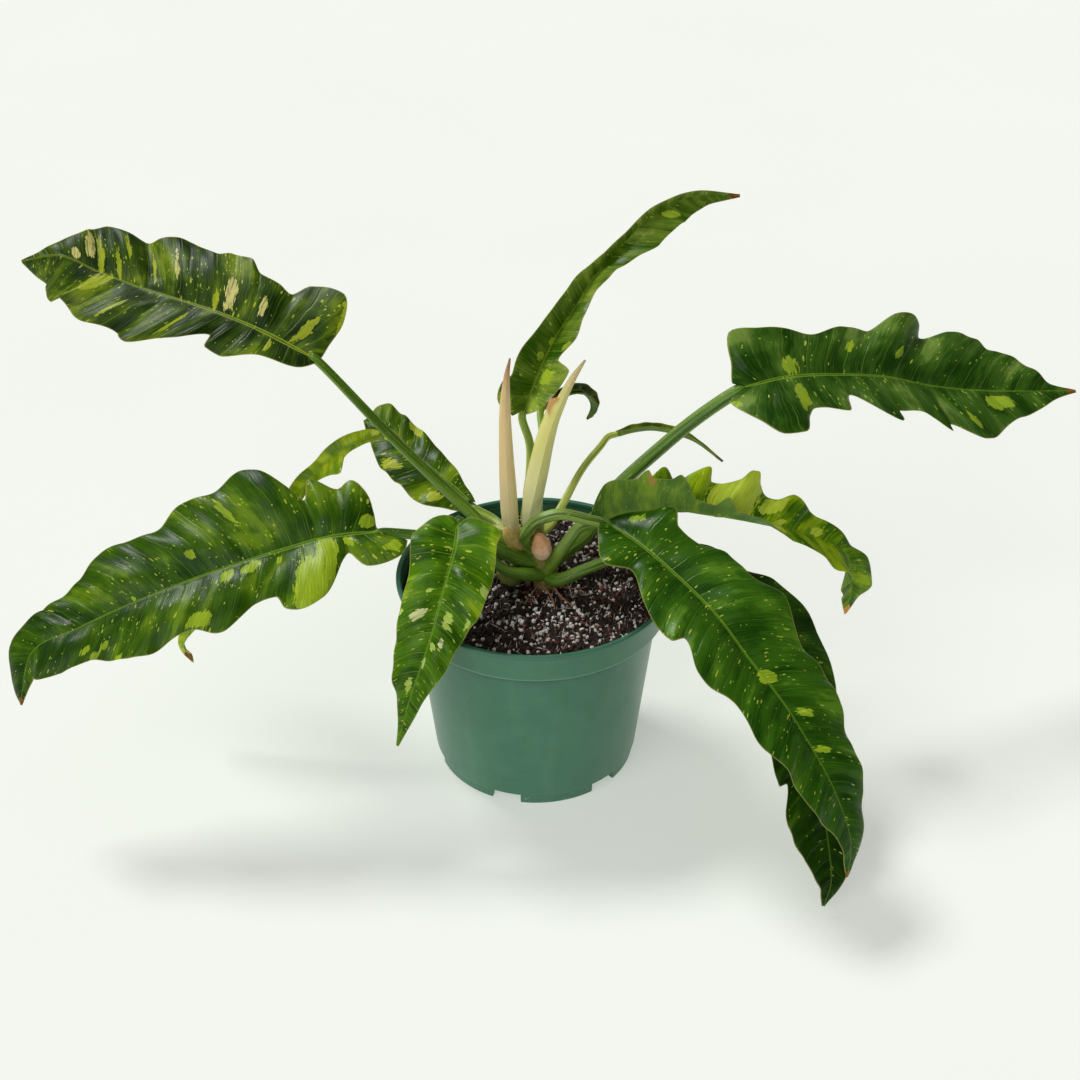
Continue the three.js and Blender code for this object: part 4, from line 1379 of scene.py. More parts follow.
@dataclass
class Crown:
    """The stem with what stands on it, apart from the leaves.

    Args:
        path: the stem's centre line.
        radii: its radius at equal shares.
        pitch: distance between its ring scars.
    """

    path: Rows = ((9, -11, 96), (7, -7, 120), (5, -3, 132), (2, 0, 144), (-2, 4, 156))
    radii: tuple[float, ...] = (6, 6.6, 7.2, 7.6, 4.6)
    pitch: float = 4.6

    def build(self) -> None:
        """Builds and dresses every piece of the crown."""
        self.stem()
        self.bud()
        self.sheaths()
        self.knuckles()
        self.roots()

    def stem(self) -> None:
        """The stem, swollen a little at each ring scar."""
        rows = [(i / 4, r) for i, r in enumerate(self.radii)]
        line = Route(self.path)
        length = line.total()

        def radius(share: np.ndarray) -> np.ndarray:
            """Radius by share of length."""
            swell = np.cos(math.pi * share * length / self.pitch) ** 8
            tip = np.sqrt(np.clip(1 - ((share - 0.93) / 0.07).clip(0, 1) ** 2, 0.02, 1))
            return (monotone(rows, share) + 0.45 * swell) * tip

        def section(share: np.ndarray, angle: np.ndarray) -> np.ndarray:
            """A slightly uneven round."""
            return 1 + 0.05 * np.sin(2 * angle + 9 * share) + 0.03 * np.sin(5 * angle - 21 * share)

        bar = Bar("stem_skin", line, radius, (0, -1, 0.2), section, 0.5, 56)
        settle(bar.piece().make(StemFinish().material()), "stem", "stem")

    def bud(self) -> None:
        """The peach bud, a fat spindle with overlapping scales."""

        def radius(share: np.ndarray) -> np.ndarray:
            """Radius by share of length."""
            return 5.6 * np.clip(np.sin(math.pi * share**0.8), 0, 1) ** 0.55 + 0.15

        def section(share: np.ndarray, angle: np.ndarray) -> np.ndarray:
            """The steps of three scales and a crease."""
            spiral = (share * 3.2 + angle / (2 * math.pi)) % 1
            step = 0.07 * (1 - spiral) ** 2
            crease = -0.08 * np.exp(-(((angle - 0.3) / 0.16) ** 2)) * np.sin(math.pi * share)
            return 1 + step + crease

        line = Route(((4.8, -9.2, 144.2), (3.9, -9.6, 149), (3.1, -9.3, 155), (1.2, -8.6, 161)))
        bar = Bar("bud_scales", line, radius, (0, -1, 0), section, 0.35, 64)
        skin = FleshFinish("bud_skin", "ffdcb8", "f2b27c", "d68a54")
        settle(bar.piece().make(skin.material()), "bud", "bud")

    def sheaths(self) -> None:
        """The tan and the cream sheath."""
        tan = SheathFinish("sheath_tan_skin", "fff6bc", "ffe2a0", "c88e58", "dda062")
        cream = SheathFinish("sheath_cream_skin", "fffcc4", "f6f290", "f4dc9c", "bdbc6c", 0.85)
        flat = {"lobe": 0.0, "bow": 0.0, "pleat": 0.0}
        thin = {"thickness": 0.6, "ridge": (1.2, 0.3, 0.3), "cushion": 0.05, "pitch": 9.0}
        for leaf, look in zip(SHEATHS, (tan, cream)):
            blade = Blade(leaf, "papery", rows=150, half=18, frill=0.25, ripple=0.4, **thin, **flat)
            made = blade.piece().make(look.material())
            settle(made, leaf.name, leaf.name)

    def knuckles(self) -> None:
        """The golden joint below the tan sheath and the olive side bud."""

        def round_bar(share: np.ndarray) -> np.ndarray:
            """Radius by share of length."""
            return 5.4 * np.clip(np.sin(math.pi * np.clip(share, 0.02, 0.98)), 0, 1) ** 0.45

        def plain(share: np.ndarray, angle: np.ndarray) -> np.ndarray:
            """A slightly uneven round."""
            return 1 + 0.06 * np.sin(3 * angle + 5 * share)

        joint = Route(((-7, 2, 138), (-11, 1, 147), (-14.5, 1, 154), (-16, 1, 161)))
        side = Route(((-8, -7, 127), (-14, -9, 130), (-18, -10, 135), (-19, -10, 141)))
        golden = FleshFinish("joint_skin", "cfa648", "e8c872", "b98a3c")
        olive = FleshFinish("side_bud_skin", "6d7a2e", "b3b257", "8a7a34")
        for name, line, look in (("sheath_joint", joint, golden), ("side_bud", side, olive)):
            bar = Bar(name, line, round_bar, (0, -1, 0), plain, 0.5, 40)
            settle(bar.piece().make(look.material()), "stem")

    def roots(self) -> None:
        """Thin roots from the stem over the potting mix."""
        lines = (
            ((4, -13, 128), (9, -19, 124), (11, -27, 121), (8, -35, 120.2), (7, -42, 119.6)),
            ((9, -11, 128), (15, -18, 123), (22, -24, 120.8), (30, -27, 120.2), (37, -26, 119.8)),
            ((2, -10, 126), (-4, -18, 122), (-8, -27, 120.4), (-15, -34, 119.8)),
            ((11, -8, 130), (17, -10, 124), (25, -9, 121.6), (31, -13, 120.6)),
        )

        def radius(share: np.ndarray) -> np.ndarray:
            """Radius by share of length."""
            return 0.75 - 0.45 * share

        def section(share: np.ndarray, angle: np.ndarray) -> np.ndarray:
            """Knobbly round."""
            return 1 + 0.12 * np.sin(60 * share + 2 * angle)

        skin = FleshFinish("root_skin", "a5684e", "c99a80", "7a4a34", (4.0, 30.0)).material()
        for i, line in enumerate(lines):
            bar = Bar(f"root_{i + 1}", Route(line), radius, (0, 0, 1), section, 0.8, 10)
            settle(bar.piece().make(skin), "stem")


# Potting mix


@dataclass
class Scatter:
    """One kind of particle, scattered on the mix by a Geometry Nodes tree.

    Args:
        name: the piece's name.
        finish: its material.
        density: particles per square metre.
        small: smallest half size in millimetres.
        large: largest half size.
        stretch: factors along the particle's own axes.
        lift: height of the middle over the mix, in millimetres.
        ragged: how uneven the particles are, as a share of their size.
        seed: for the places and turns.
        patchy: how much the crowding varies.
        detail: how often the particle's ball is divided.
    """

    name: str
    finish: GrainFinish
    density: float
    small: float
    large: float
    stretch: tuple[float, float, float]
    lift: float
    ragged: float
    seed: int
    patchy: float = 0.6
    detail: int = 1

    def tree(self) -> bpy.types.NodeTree:
        """Returns the tree, with named inputs for its sizes."""
        tree = bpy.data.node_groups.new(f"scatter_{self.name}", "GeometryNodeTree")
        face = tree.interface
        face.new_socket("Geometry", in_out="INPUT", socket_type="NodeSocketGeometry")
        for name in ("Density", "Smallest", "Largest", "Lift", "Ragged", "Patchy"):
            face.new_socket(name, in_out="INPUT", socket_type="NodeSocketFloat")
        face.new_socket("Stretch", in_out="INPUT", socket_type="NodeSocketVector")
        face.new_socket("Seed", in_out="INPUT", socket_type="NodeSocketInt")
        face.new_socket("Geometry", in_out="OUTPUT", socket_type="NodeSocketGeometry")

        def add(kind: str, settings: dict | None = None, links: dict | None = None):
            """Adds a node with its settings, then its sockets, and returns it."""
            node = tree.nodes.new(kind)
            for key, value in (settings or {}).items():
                setattr(node, key, value)
            for key, value in (links or {}).items():
                if isinstance(value, bpy.types.NodeSocket):
                    tree.links.new(value, node.inputs[key])
                else:
                    node.inputs[key].default_value = value
            return node

        def vector_math(operation: str, first: object, second: object) -> bpy.types.NodeSocket:
            """Adds a Vector Math node and returns its result."""
            both = {0: first, 1: second}
            return add("ShaderNodeVectorMath", {"operation": operation}, both).outputs[0]

        def math_node(operation: str, first: object, second: object) -> bpy.types.NodeSocket:
            """Adds a Math node and returns its result."""
            both = {0: first, 1: second}
            return add("ShaderNodeMath", {"operation": operation}, both).outputs[0]

        given = add("NodeGroupInput").outputs
        cloud = add("ShaderNodeTexNoise", None, {"Scale": 26.0, "Detail": 2.0}).outputs[0]
        crowd = add("ShaderNodeMapRange", None, {"Value": cloud, "From Min": 0.38, "From Max": 0.6})
        lack = math_node("SUBTRACT", crowd.outputs[0], 1.0)
        uneven = math_node("MULTIPLY", lack, given["Patchy"])
        density = math_node("MULTIPLY", math_node("ADD", uneven, 1.0), given["Density"])
        spread = add(
            "GeometryNodeDistributePointsOnFaces",
            None,
            {"Mesh": given["Geometry"], "Density": density, "Seed": given["Seed"]},
        )
        size = add(
            "FunctionNodeRandomValue",
            {"data_type": "FLOAT"},
            {2: given["Smallest"], 3: given["Largest"], "Seed": given["Seed"]},
        ).outputs[1]
        turn = add(
            "FunctionNodeRandomValue",
            {"data_type": "FLOAT_VECTOR"},
            {0: (0.0, 0.0, 0.0), 1: (6.283, 6.283, 6.283), "Seed": given["Seed"]},
        ).outputs[0]
        ball = add("GeometryNodeMeshIcoSphere", None, {"Radius": 1.0, "Subdivisions": self.detail})
        placed = add(
            "GeometryNodeInstanceOnPoints",
            None,
            {
                "Points": spread.outputs["Points"],
                "Instance": ball.outputs["Mesh"],
                "Rotation": turn,
                "Scale": vector_math("SCALE", given["Stretch"], (0.0, 0.0, 0.0)),
            },
        )
        scaled = placed.inputs["Scale"].links[0].from_node
        tree.links.new(size, scaled.inputs["Scale"])
        real = add("GeometryNodeRealizeInstances", None, {"Geometry": placed.outputs[0]})
        noise = add("ShaderNodeTexNoise", None, {"Scale": 620.0, "Detail": 1.0}).outputs[1]
        push = vector_math("SUBTRACT", noise, (0.5, 0.5, 0.5))
        amount = math_node("MULTIPLY", given["Ragged"], given["Largest"])
        scaling = {0: push, "Scale": amount}
        pushed = add("ShaderNodeVectorMath", {"operation": "SCALE"}, scaling).outputs[0]
        raise_up = add("ShaderNodeCombineXYZ", None, {"Z": given["Lift"]}).outputs[0]
        moved = add(
            "GeometryNodeSetPosition",
            None,
            {"Geometry": real.outputs[0], "Offset": vector_math("ADD", pushed, raise_up)},
        )
        smooth = add("GeometryNodeSetShadeSmooth", None, {"Geometry": moved.outputs[0]})
        dressed = add("GeometryNodeSetMaterial", None, {"Geometry": smooth.outputs[0]})
        dressed.inputs["Material"].default_value = self.finish.material()
        add("NodeGroupOutput", None, {"Geometry": dressed.outputs[0]})
        return tree

    def build(self, ground: bpy.types.Mesh, slot: str) -> None:
        """Scatters the particles and keeps them as one plain piece.

        Args:
            ground: the surface that they lie on.
            slot: the material slot's name, passed on but not used.
        """
        base = linked(f"ground_{self.name}", ground.copy())
        modifier = base.modifiers.new("scatter", "NODES")
        modifier.node_group = self.tree()
        values = {
            "Density": self.density,
            "Smallest": self.small * MM,
            "Largest": self.large * MM,
            "Lift": self.lift * MM,
            "Ragged": self.ragged,
            "Patchy": self.patchy,
            "Stretch": self.stretch,
            "Seed": self.seed,
        }
        for item in modifier.node_group.interface.items_tree:
            if item.in_out == "INPUT" and item.name in values:
                modifier[item.identifier] = values[item.name]
        mesh = applied(base)
        mesh.name = self.name
        bpy.data.objects.remove(base)
        settle(linked(self.name, mesh), slot)


@dataclass
class PottingMix:
    """The mix that fills the pot, with its crumbs, perlite, bark and fibres.

    Args:
        top: height of its edge.
        mound: how much higher the middle is.
        edge: radius at the top.
        lump: height of the large lumps.
        outline: radius and height of its side, from the bottom up.
        rings: rings from the middle to the edge.
        spokes: points around.
    """

    top: float = 118.5
    mound: float = 3.0
    edge: float = 76.7
    lump: float = 0.9
    outline: Rows = ((59.6, 9.5), (70.9, 106.8), (76.7, 109.4), (76.7, 117.0))
    rings: int = 64
    spokes: int = 150

    def height(self, x: np.ndarray, y: np.ndarray) -> np.ndarray:
        """Height of the top at places in the plane."""
        share = np.minimum(np.hypot(x, y) / self.edge, 1)
        lump = np.sin(0.42 * x + 1.3) * np.cos(0.37 * y) + np.sin(0.19 * x - 0.55 * y)
        rng = np.random.default_rng(11)
        fine = np.zeros_like(x)
        for scale in (0.9, 1.5, 2.3, 3.4):
            for _ in range(4):
                turn, phase = rng.uniform(0, math.pi), rng.uniform(0, 2 * math.pi)
                wave = scale * (x * math.cos(turn) + y * math.sin(turn)) + phase
                fine += 0.3 / scale * np.sin(wave + 0.8 * np.sin(0.31 * y - 0.27 * x))
        dome = self.top + self.mound * (1 - share**2)
        lumps = self.lump * lump * (1 - share**6)
        return dome + lumps + fine * (1 - share**8)

    def surface(self) -> tuple[np.ndarray, list[tuple[int, ...]]]:
        """Points and faces of the top alone."""
        radius = self.edge * np.linspace(0, 1, self.rings + 1)[1:]
        angle = angles(self.spokes)
        x = (radius[:, None] * np.cos(angle)).ravel()
        y = (radius[:, None] * np.sin(angle)).ravel()
        points = np.stack([x, y, self.height(x, y)], -1)
        middle = np.array([[0, 0, float(self.height(np.zeros(1), np.zeros(1))[0])]])
        points = np.vstack([points, middle])
        count, last = self.spokes, len(points) - 1
        faces = [(last, j, (j + 1) % count) for j in range(count)]
        for i in range(self.rings - 1):
            faces += band(i * count, (i + 1) * count, count)
        return points, faces

    def build(self) -> None:
        """Builds the bed and scatters the particles."""
        points, faces = self.surface()
        ground = bpy.data.meshes.new("mix_top")
        ground.from_pydata((points * MM).tolist(), [], faces)
        ground.update()
        self.bed(points, faces)
        crumb = GrainFinish("mix_crumb", "140a06", "4a2c1e", 900.0)
        perlite = GrainFinish("perlite", "c9c0b8", "fbf7f2", 1300.0, 0.7)
        bark = GrainFinish("bark", "3c1a10", "8e4e36", 700.0)
        fibre = GrainFinish("fibre", "a08a7a", "f2e6da", 500.0)
        kinds = (
            Scatter("mix_crumbs", crumb, density=190000, small=0.5, large=1.6,
                stretch=(1.2, 0.9, 0.7), lift=0.2, ragged=1.1, seed=3, patchy=0.3),
            Scatter("mix_perlite", perlite, density=62000, small=0.5, large=1.7,
                stretch=(1.1, 0.9, 0.8), lift=0.35, ragged=0.9, seed=5, patchy=0.75),
            Scatter("mix_bark", bark, density=8000, small=1.0, large=2.6,
                stretch=(1.7, 0.75, 0.3), lift=0.3, ragged=0.5, seed=8, patchy=0.4),
            Scatter("mix_fibres", fibre, density=52000, small=0.8, large=2.6,
                stretch=(1.9, 0.12, 0.12), lift=0.5, ragged=0.25, seed=13, patchy=0.5),
        )
        for kind in kinds:
            kind.build(ground, "soil")
        bpy.data.meshes.remove(ground)

    def bed(self, points: np.ndarray, faces: list[tuple[int, ...]]) -> None:
        """The closed body of mix below the particles.

        Args:
            points: points of the top.
            faces: faces of the top.
        """
        count = self.spokes
        angle = angles(count)
        levels = [points[(self.rings - 1) * count : self.rings * count]]
        for radius, height in reversed(self.outline):
            ring = [radius * np.cos(angle), radius * np.sin(angle), np.full(count, float(height))]
            levels.append(np.stack(ring, -1))
        start = len(points)
        below = np.vstack([*levels[1:], [[0, 0, self.outline[0][1]]]])
        every = list(faces)
        rows = [(self.rings - 1) * count] + [start + i * count for i in range(len(self.outline))]
        for upper, lower in zip(rows, rows[1:]):
            every += band(upper, lower, count)
        foot = start + len(below) - 1
        every += [(foot, rows[-1] + (j + 1) % count, rows[-1] + j) for j in range(count)]
        finish = GrainFinish("mix_bed", "0b0605", "2c1a12", 620.0, 0.85, 0.9)
        bed = Piece("potting_mix", np.vstack([points, below]), every)
        settle(bed.make(finish.material()), "soil", "soil")


# Pot


@dataclass
class GrowerPot:
    """The moulded pot: rim lip, band, ledge, tapering wall, feet and drain holes.

    Args:
        profile: radius, height and rounding of each corner, up the outside and down
            the inside.
        segments: points around.
        feet: feet between notches.
        notch: width and height of a notch.
        first: angle of the first notch in degrees.
        drain: radius of a drain hole and of the ring that they lie on.
    """

    profile: Rows = (
        (7, 0, 0.6), (8.5, 7, 1.0), (55, 7, 1.5), (56.5, 0, 0.5), (60.2, 0, 0.8),
        (60.6, 6.6, 0.3), (61.8, 7.4, 0.6),
        (73, 105.8, 1.2), (78.0, 107, 0.9), (78.6, 107.9, 0.5), (81.2, 125.1, 0.5),
        (82.5, 125.6, 0.5), (82.5, 127.5, 0.9), (79.7, 127.2, 0.7), (77.0, 109, 1.0),
        (71.4, 106.8, 1.0), (59.9, 9.2, 2.0),
    )
    segments: int = 192
    feet: int = 6
    notch: tuple[float, float] = (17.9, 6.5)
    first: float = -107.0
    drain: tuple[float, float] = (5.0, 38.0)

    def rounded(self, steps: int = 5) -> list[tuple[float, float]]:
        """The profile with its corners rounded.

        Args:
            steps: points on each rounding.

        Returns:
            Radius and height of each point.
        """
        corners = np.array([row[:2] for row in self.profile], float)
        ends = np.vstack([[0.0, corners[0][1]], corners, [0.0, corners[-1][1]]])
        line = []
        for i, (*_, size) in enumerate(self.profile):
            before, corner, after = ends[i], ends[i + 1], ends[i + 2]
            reach = min(size, *(np.linalg.norm(end - corner) / 2.2 for end in (before, after)))
            start = corner + unit(before - corner) * reach
            finish = corner + unit(after - corner) * reach
            for u in np.linspace(0, 1, steps):
                point = start * (1 - u) ** 2 + corner * 2 * u * (1 - u) + finish * u * u
                line.append((float(point[0]), float(point[1])))
        return line

    def spun(self) -> Piece:
        """The pot without its holes."""
        line = self.rounded()
        angle = angles(self.segments)
        cos, sin = np.cos(angle), np.sin(angle)
        rings = [np.stack([r * cos, r * sin, np.full_like(angle, z)], -1) for r, z in line]
        points = np.vstack([*rings, [[0, 0, line[0][1]]], [[0, 0, line[-1][1]]]])
        return Piece("grower_pot", points, tube_faces(len(line), self.segments))

    def cutter(self) -> bpy.types.Object:
        """All notches and drain holes as one body."""
        width, height = self.notch
        radius, ring = self.drain
        points: list[np.ndarray] = []
        faces: list[tuple[int, ...]] = []
        for i in range(self.feet):
            turn = math.radians(self.first + 360 / self.feet * i)
            cos, sin = math.cos(turn), math.sin(turn)
            spin = np.array([[cos, sin, 0], [-sin, cos, 0], [0, 0, 1]])
            square = ((50, -1), (68, -1), (68, 1), (50, 1))
            box = [(x, y, z) for z in (-3, height) for x, y in square]
            corners = np.array(box, float) * [1, width / 2, 1]
            base = sum(map(len, points))
            points.append(corners @ spin)
            sides = ((0, 3, 2, 1), (4, 5, 6, 7), (0, 1, 5, 4), (1, 2, 6, 5), (2, 3, 7, 6), (3, 0, 4, 7))
            faces += [tuple(base + c for c in side) for side in sides]
            turn += math.radians(180 / self.feet)
            middle = ring * np.array([math.cos(turn), math.sin(turn)])
            count = 40
            angle = angles(count)
            circle = middle[:, None] + radius * np.array([np.cos(angle), np.sin(angle)])
            for z in (3.0, 13.0):
                points.append(np.vstack([circle, np.full(count, z)]).T)
            base = sum(map(len, points)) - 2 * count
            faces.append(tuple(base + count - 1 - j for j in range(count)))
            faces.append(tuple(base + count + j for j in range(count)))
            for j in range(count):
                k = (j + 1) % count
                faces.append((base + j, base + k, base + count + k, base + count + j))
        mesh = bpy.data.meshes.new("pot_cutter")
        mesh.from_pydata((np.vstack(points) * MM).tolist(), [], faces)
        return linked("pot_cutter", mesh)

    def build(self) -> None:
        """Builds the pot, cuts its holes and dresses it."""
        plastic = PotFinish().material()
        pot = self.spun().make(plastic)
        cutter = self.cutter()
        modifier = pot.modifiers.new("holes", "BOOLEAN")
        modifier.operation, modifier.solver, modifier.object = "DIFFERENCE", "EXACT", cutter
        mesh = applied(pot)
        pot.data = mesh
        mesh.materials.clear()
        mesh.materials.append(plastic)
        mesh.set_sharp_from_angle(angle=math.radians(38))
        bpy.data.objects.remove(cutter)
        settle(pot, "pot", "pot")


# Plant


LIME, CREAM, RUST = Tint.LIME, Tint.CREAM, Tint.RUST
PATCHES: dict[str, tuple[tuple, ...]] = {
    "upper_left": (
        (CREAM, 0.265, -0.37, 0.016, 0.3), (CREAM, 0.739, -0.6, 0.02, 0.34),
        (LIME, 0.7, -0.35, 0.012, 0.4), (CREAM, 0.8, -0.3, 0.016, 0.24),
        (LIME, 0.69, 0.35, 0.018, 0.34), (LIME, 0.665, 0.25, 0.01, 0.3),
        (LIME, 0.639, -0.3, 0.008, 0.3), (LIME, 0.548, 0.6, 0.006, 0.3),
        (CREAM, 0.44, -0.5, 0.008, 0.24), (CREAM, 0.177, -0.42, 0.008, 0.2),
        (LIME, 0.075, -0.25, 0.01, 0.26), (LIME, 0.054, -0.96, 0.014, 0.1),
        (LIME, 0.306, -0.2, 0.008, 0.2), (LIME, 0.12, 0.5, 0.006, 0.3),
        (LIME, 0.36, 0.5, 0.005, 0.3), (LIME, 0.52, -0.4, 0.006, 0.3),
        (LIME, 0.6, -0.7, 0.006, 0.2),
    ),
    "left": (
        (LIME, 0.165, 0.62, 0.042, 0.42, 4.0), (LIME, 0.14, 0.3, 0.025, 0.3, 4.0),
        (LIME, 0.316, 0.17, 0.02, 0.11), (LIME, 0.371, 0.17, 0.018, 0.11),
        (LIME, 0.249, 0.21, 0.008, 0.08), (LIME, 0.425, -0.39, 0.01, 0.08),
        (LIME, 0.296, -0.68, 0.008, 0.2), (LIME, 0.657, 0.73, 0.01, 0.1),
        (LIME, 0.672, 0.92, 0.014, 0.1), (LIME, 0.706, 0.73, 0.01, 0.1),
        (LIME, 0.41, 0.86, 0.03, 0.14, 2.0), (LIME, 0.087, 0.36, 0.012, 0.22),
        (LIME, 0.022, 0.7, 0.016, 0.16), (LIME, 0.599, 1.0, 0.014, 0.08),
        (RUST, 0.99, 0.0, 0.008, 2.0),
    ),
    "front": (
        (CREAM, 0.467, -0.48, 0.024, 0.2), (LIME, 0.47, 0.36, 0.03, 0.14),
        (LIME, 0.51, 0.42, 0.012, 0.22), (CREAM, 0.58, 0.44, 0.02, 0.1),
        (LIME, 0.623, 0.2, 0.014, 0.12), (CREAM, 0.704, 0.07, 0.018, 0.08),
        (LIME, 0.361, -0.34, 0.012, 0.1), (LIME, 0.422, 0.89, 0.03, 0.06),
        (LIME, 0.8, -0.3, 0.03, 0.14),
    ),
    "top": (
        (LIME, 0.119, -0.41, 0.024, 0.2), (LIME, 0.231, 0.11, 0.012, 0.14),
        (LIME, 0.174, 0.26, 0.012, 0.14), (LIME, 0.214, -0.85, 0.014, 0.14),
        (LIME, 0.037, 0.8, 0.02, 0.2), (RUST, 0.985, 0.0, 0.018, 2.0),
    ),
    "right_upper": (
        (LIME, 0.15, 0.21, 0.02, 0.18), (LIME, 0.155, -0.57, 0.016, 0.3, 4.0),
        (LIME, 0.752, -0.42, 0.036, 0.22, 4.0), (LIME, 0.621, -0.68, 0.012, 0.14),
        (LIME, 0.3, 0.6, 0.01, 0.14), (LIME, 0.44, 0.4, 0.01, 0.1),
        (RUST, 0.985, 0.0, 0.02, 2.0),
    ),
    "right_middle": (
        (LIME, 0.38, 0.55, 0.08, 0.6, 4.0), (LIME, 0.5, 0.62, 0.03, 0.3, 4.0),
        (RUST, 0.15, -0.9, 0.01, 0.16), (RUST, 0.99, 0.0, 0.02, 2.0),
        (LIME, 0.66, 0.3, 0.02, 0.2),
    ),
    "front_right": (
        (LIME, 0.59, 0.26, 0.01, 0.14), (LIME, 0.68, 0.22, 0.008, 0.16),
        (LIME, 0.062, 0.6, 0.012, 0.16), (RUST, 0.99, 0.0, 0.01, 2.0),
    ),
    "short_back_left": (
        (LIME, 0.52, -0.92, 0.05, 0.22, 4.0), (LIME, 0.47, 0.73, 0.06, 0.2),
        (LIME, 0.155, 0.61, 0.03, 0.2), (LIME, 0.7, 0.2, 0.02, 0.14),
    ),
    "narrow_left": ((LIME, 0.6, 0.4, 0.12, 0.6), (RUST, 0.96, 0.0, 0.03, 2.0)),
    "young_rolled": ((RUST, 0.97, 0.0, 0.03, 2.0),),
    "curled_top": ((RUST, 0.97, 0.0, 0.03, 2.0),),
}
FINISHES: dict[str, BladeFinish] = {
    "upper_left": BladeFinish("112c00", "38540a", "7a9018", lime="b4c028", rib="a0b430",
        flecks=0.34, blotches=0.0, light=0.4, gloss=0.36),
    "left": BladeFinish("193c00", "3a5f04", "6b8b17", flecks=0.26, light=0.35),
    "front": BladeFinish("285100", "4d7c06", "97b822", lime="c0d86c", cream="dfe0a0",
        flecks=0.35, blotches=0.1, light=0.28),
    "top": BladeFinish("325900", "688425", "97ae40", flecks=0.25, light=0.4),
    "curled_top": BladeFinish("273c03", "4c6111", "7e8d27", light=0.4),
    "right_upper": BladeFinish("1a4000", "3e6418", "799740", flecks=0.2, blotches=0.04, light=0.3),
    "right_middle": BladeFinish("336200", "6d9707", "a5c118", lime="cfe04a", rust="eaa450",
        flecks=0.3, blotches=0.1, light=0.55),
    "front_right": BladeFinish("194300", "335f09", "5c881f", flecks=0.2, blotches=0.02, light=0.25),
    "lower_right": BladeFinish("0f2e00", "204303", "4d7114", flecks=0.15, light=0.2),
    "short_back_left": BladeFinish("244500", "476904", "849f15", lime="c8d040",
        flecks=0.25, blotches=0.1, light=0.45),
    "narrow_left": BladeFinish("648900", "a1bb15", "cade32", lime="dce066",
        flecks=0.2, blotches=0.1, light=0.6),
    "young_rolled": BladeFinish("5e7a14", "869d25", "adbc40", flecks=0.1, light=0.5),
}
SLOTS: dict[str, str] = {
    "front": "blade_flecked", "short_back_left": "blade_flecked", "curled_top": "blade_lime",
    "right_middle": "blade_lime", "narrow_left": "blade_lime", "young_rolled": "blade_lime",
}
STALKS: dict[str, StalkFinish] = {
    "upper_left": StalkFinish("466808", "749a26", "7c9a26"),
    "left": StalkFinish("3c5e0c", "6c9430", "709a2c"),
    "front": StalkFinish("3c5e0c", "6c9430", "709a2c"),
    "top": StalkFinish("6a8c12", "a8bc3c", "a8a848"),
    "curled_top": StalkFinish("6e9012", "a4bc30", "a8a848"),
    "right_upper": StalkFinish("3c6208", "72982c", "83a034"),
    "right_middle": StalkFinish("46660e", "84a440", "83a034"),
    "front_right": StalkFinish("3a5a06", "9cbc58", "6c8a26"),
    "lower_right": StalkFinish("3a5a06", "82a444", "709a2c"),
    "short_back_left": StalkFinish("6a8c12", "a4b840", "a8a848"),
    "narrow_left": StalkFinish("8a9c20", "c0c84c", "a8a848"),
    "young_rolled": StalkFinish("a2b838", "dfe674", "b4b850"),
}


@dataclass
class Plant:
    """The twelve leaves with their looks.

    Args:
        light_stalks: leaves whose petioles are passed the light slot's name.
        short: length in millimetres below which a blade gets the coarser grid.
        coarse: rows and half columns of that grid.
    """

    light_stalks: tuple[str, ...] = (
        "top", "curled_top", "short_back_left", "narrow_left", "young_rolled",
    )
    short: float = 150.0
    coarse: tuple[int, int] = (120, 16)

    def build(self) -> None:
        """Builds every petiole and blade."""
        for leaf in LEAVES:
            small = Route(leaf.midrib).total() < self.short
            rows, half = self.coarse if small else (Blade.rows, Blade.half)
            patches = tuple(Patch(*row) for row in PATCHES.get(leaf.name, ()))
            blade = Blade(leaf, rows=rows, half=half, patches=patches)
            skin = FINISHES[leaf.name].material(f"blade_{leaf.name}_skin")
            slot = SLOTS.get(leaf.name, "blade_dark")
            settle(blade.piece().make(skin), slot, f"blade_{leaf.name}")
            skin = STALKS[leaf.name].material(f"stalk_{leaf.name}_skin")
            slot = "petiole_light" if leaf.name in self.light_stalks else "petiole"
            settle(Stalk(leaf).piece().make(skin), slot, f"petiole_{leaf.name}")


# Studio


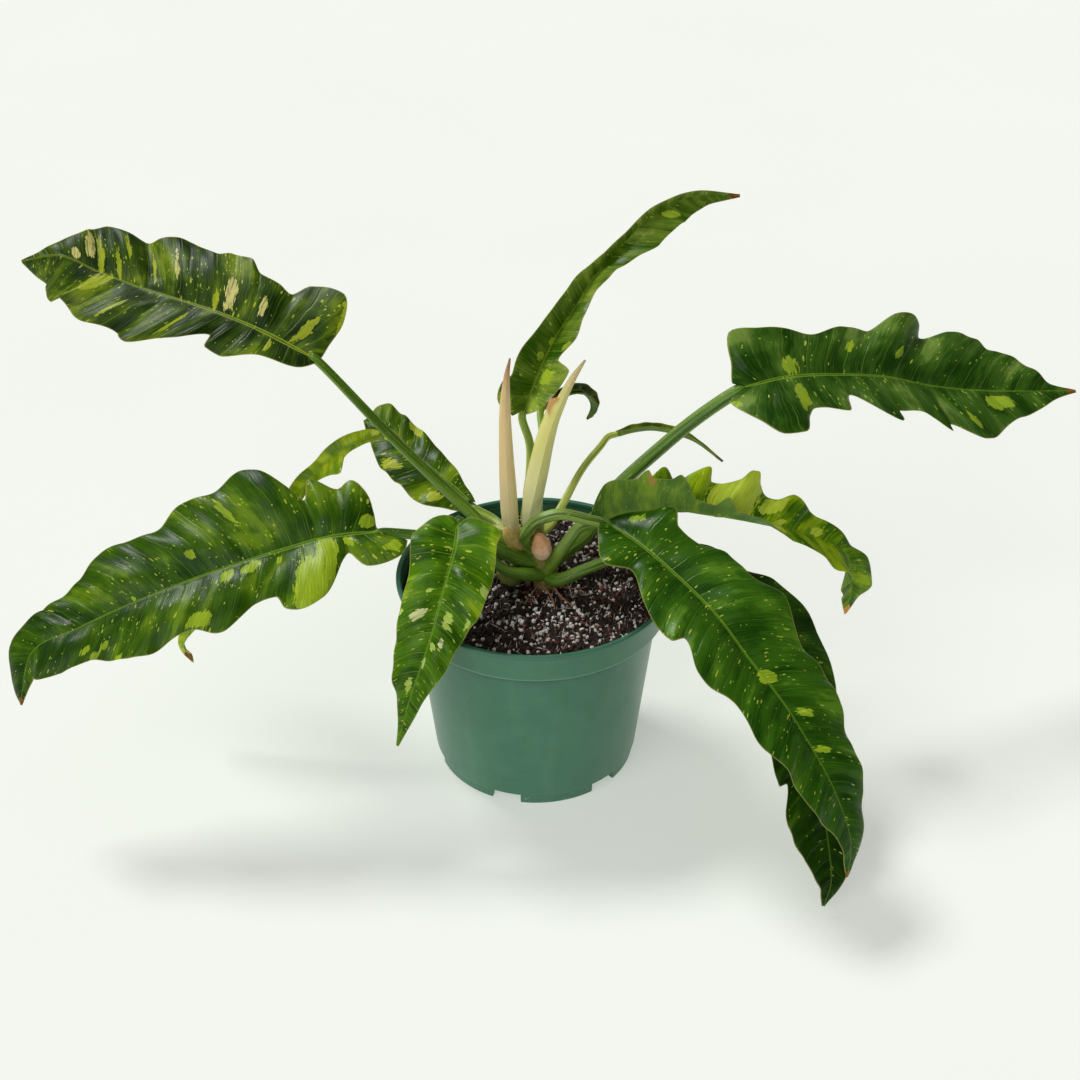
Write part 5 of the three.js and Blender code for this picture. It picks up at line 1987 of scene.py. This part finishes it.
@dataclass
class Studio:
    """The pale floor, the soft lights and the camera.

    Args:
        target: the point that the camera looks at.
        distance: how far the camera is.
        elevation: degrees that it looks down.
        lens: focal length.
        sensor: width of the sensor.
        sky: strength of the even sky.
        floor_size: half the floor's width, in metres.
        suns: name, direction, spread in degrees and strength of each light.
    """

    target: tuple[float, float, float] = (2.7, 0.0, 150.7)
    distance: float = 1170.0
    elevation: float = 34.07
    lens: float = 66.67
    sensor: float = 36.0
    sky: float = 0.16
    floor_size: float = 9.0
    suns: tuple[tuple, ...] = (
        ("key_light", (-0.5, 0.45, 1.0), 16, 1.75),
        ("fill_light", (-0.6, -0.85, 0.75), 46, 0.95),
    )

    def build(self) -> None:
        """Sets up everything round the plant."""
        self.floor()
        self.lights()
        self.camera()

    def floor(self) -> None:
        """A wide pale floor."""
        mesh = bpy.data.meshes.new("floor")
        size = self.floor_size
        square = [(-size, -size, 0), (size, -size, 0), (size, size, 0), (-size, size, 0)]
        mesh.from_pydata(square, [], [(0, 1, 2, 3)])
        floor = linked("floor", mesh)
        sh = Shade("floor_paper")
        tone = sh.noise(sh.place(), 3.0, 2.0)
        color = sh.blend(tone.rise(0.3, 0.7), rgb("cdd0ca"), rgb("ced1cb"))
        glow = {"Emission Color": color, "Emission Strength": 0.67, "Specular IOR Level": 0.0}
        mesh.materials.append(sh.finish({"Base Color": color, "Roughness": 0.9, **glow}))

    def lights(self) -> None:
        """A bright even sky, a soft key light and a softer fill."""
        world = bpy.data.worlds.new("studio_sky")
        bpy.context.scene.world = world
        world.use_nodes = True
        sky = world.node_tree.nodes["Background"]
        sky.inputs["Color"].default_value = (1.0, 1.0, 1.0, 1)
        sky.inputs["Strength"].default_value = self.sky
        bpy.context.scene.view_settings.view_transform = "Standard"
        for name, place, spread, strength in self.suns:
            data = bpy.data.lights.new(name, "SUN")
            data.angle, data.energy = math.radians(spread), strength
            lamp = linked(name, data)
            lamp.location = place
            x, y, z = place
            lamp.rotation_euler = (math.atan2(math.hypot(x, y), z), 0, math.atan2(x, -y))

    def camera(self) -> None:
        """The camera at the photograph's place."""
        data = bpy.data.cameras.new("camera")
        data.lens, data.sensor_width = self.lens, self.sensor
        data.clip_start, data.clip_end = 0.05, 50.0
        camera = linked("camera", data)
        tilt = math.radians(self.elevation)
        x, y, z = self.target
        back, up = self.distance * math.cos(tilt), self.distance * math.sin(tilt)
        camera.location = (x * MM, (y - back) * MM, (z + up) * MM)
        camera.rotation_euler = (math.pi / 2 - tilt, 0, 0)
        bpy.context.scene.camera = camera


def corners(box: tuple) -> list[list[float]]:
    """A box's two corners as plain lists."""
    return [[float(value) for value in corner] for corner in box]


def main() -> None:
    """Builds the plant, its pot and the studio."""
    logging.basicConfig(level=logging.INFO, format="%(name)s: %(message)s")
    LOG.info("%d nodes to dress", len(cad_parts))
    for part in (Studio(), GrowerPot(), PottingMix(), Crown(), Plant()):
        part.build()
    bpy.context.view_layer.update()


if __name__ == "__main__":
    main()
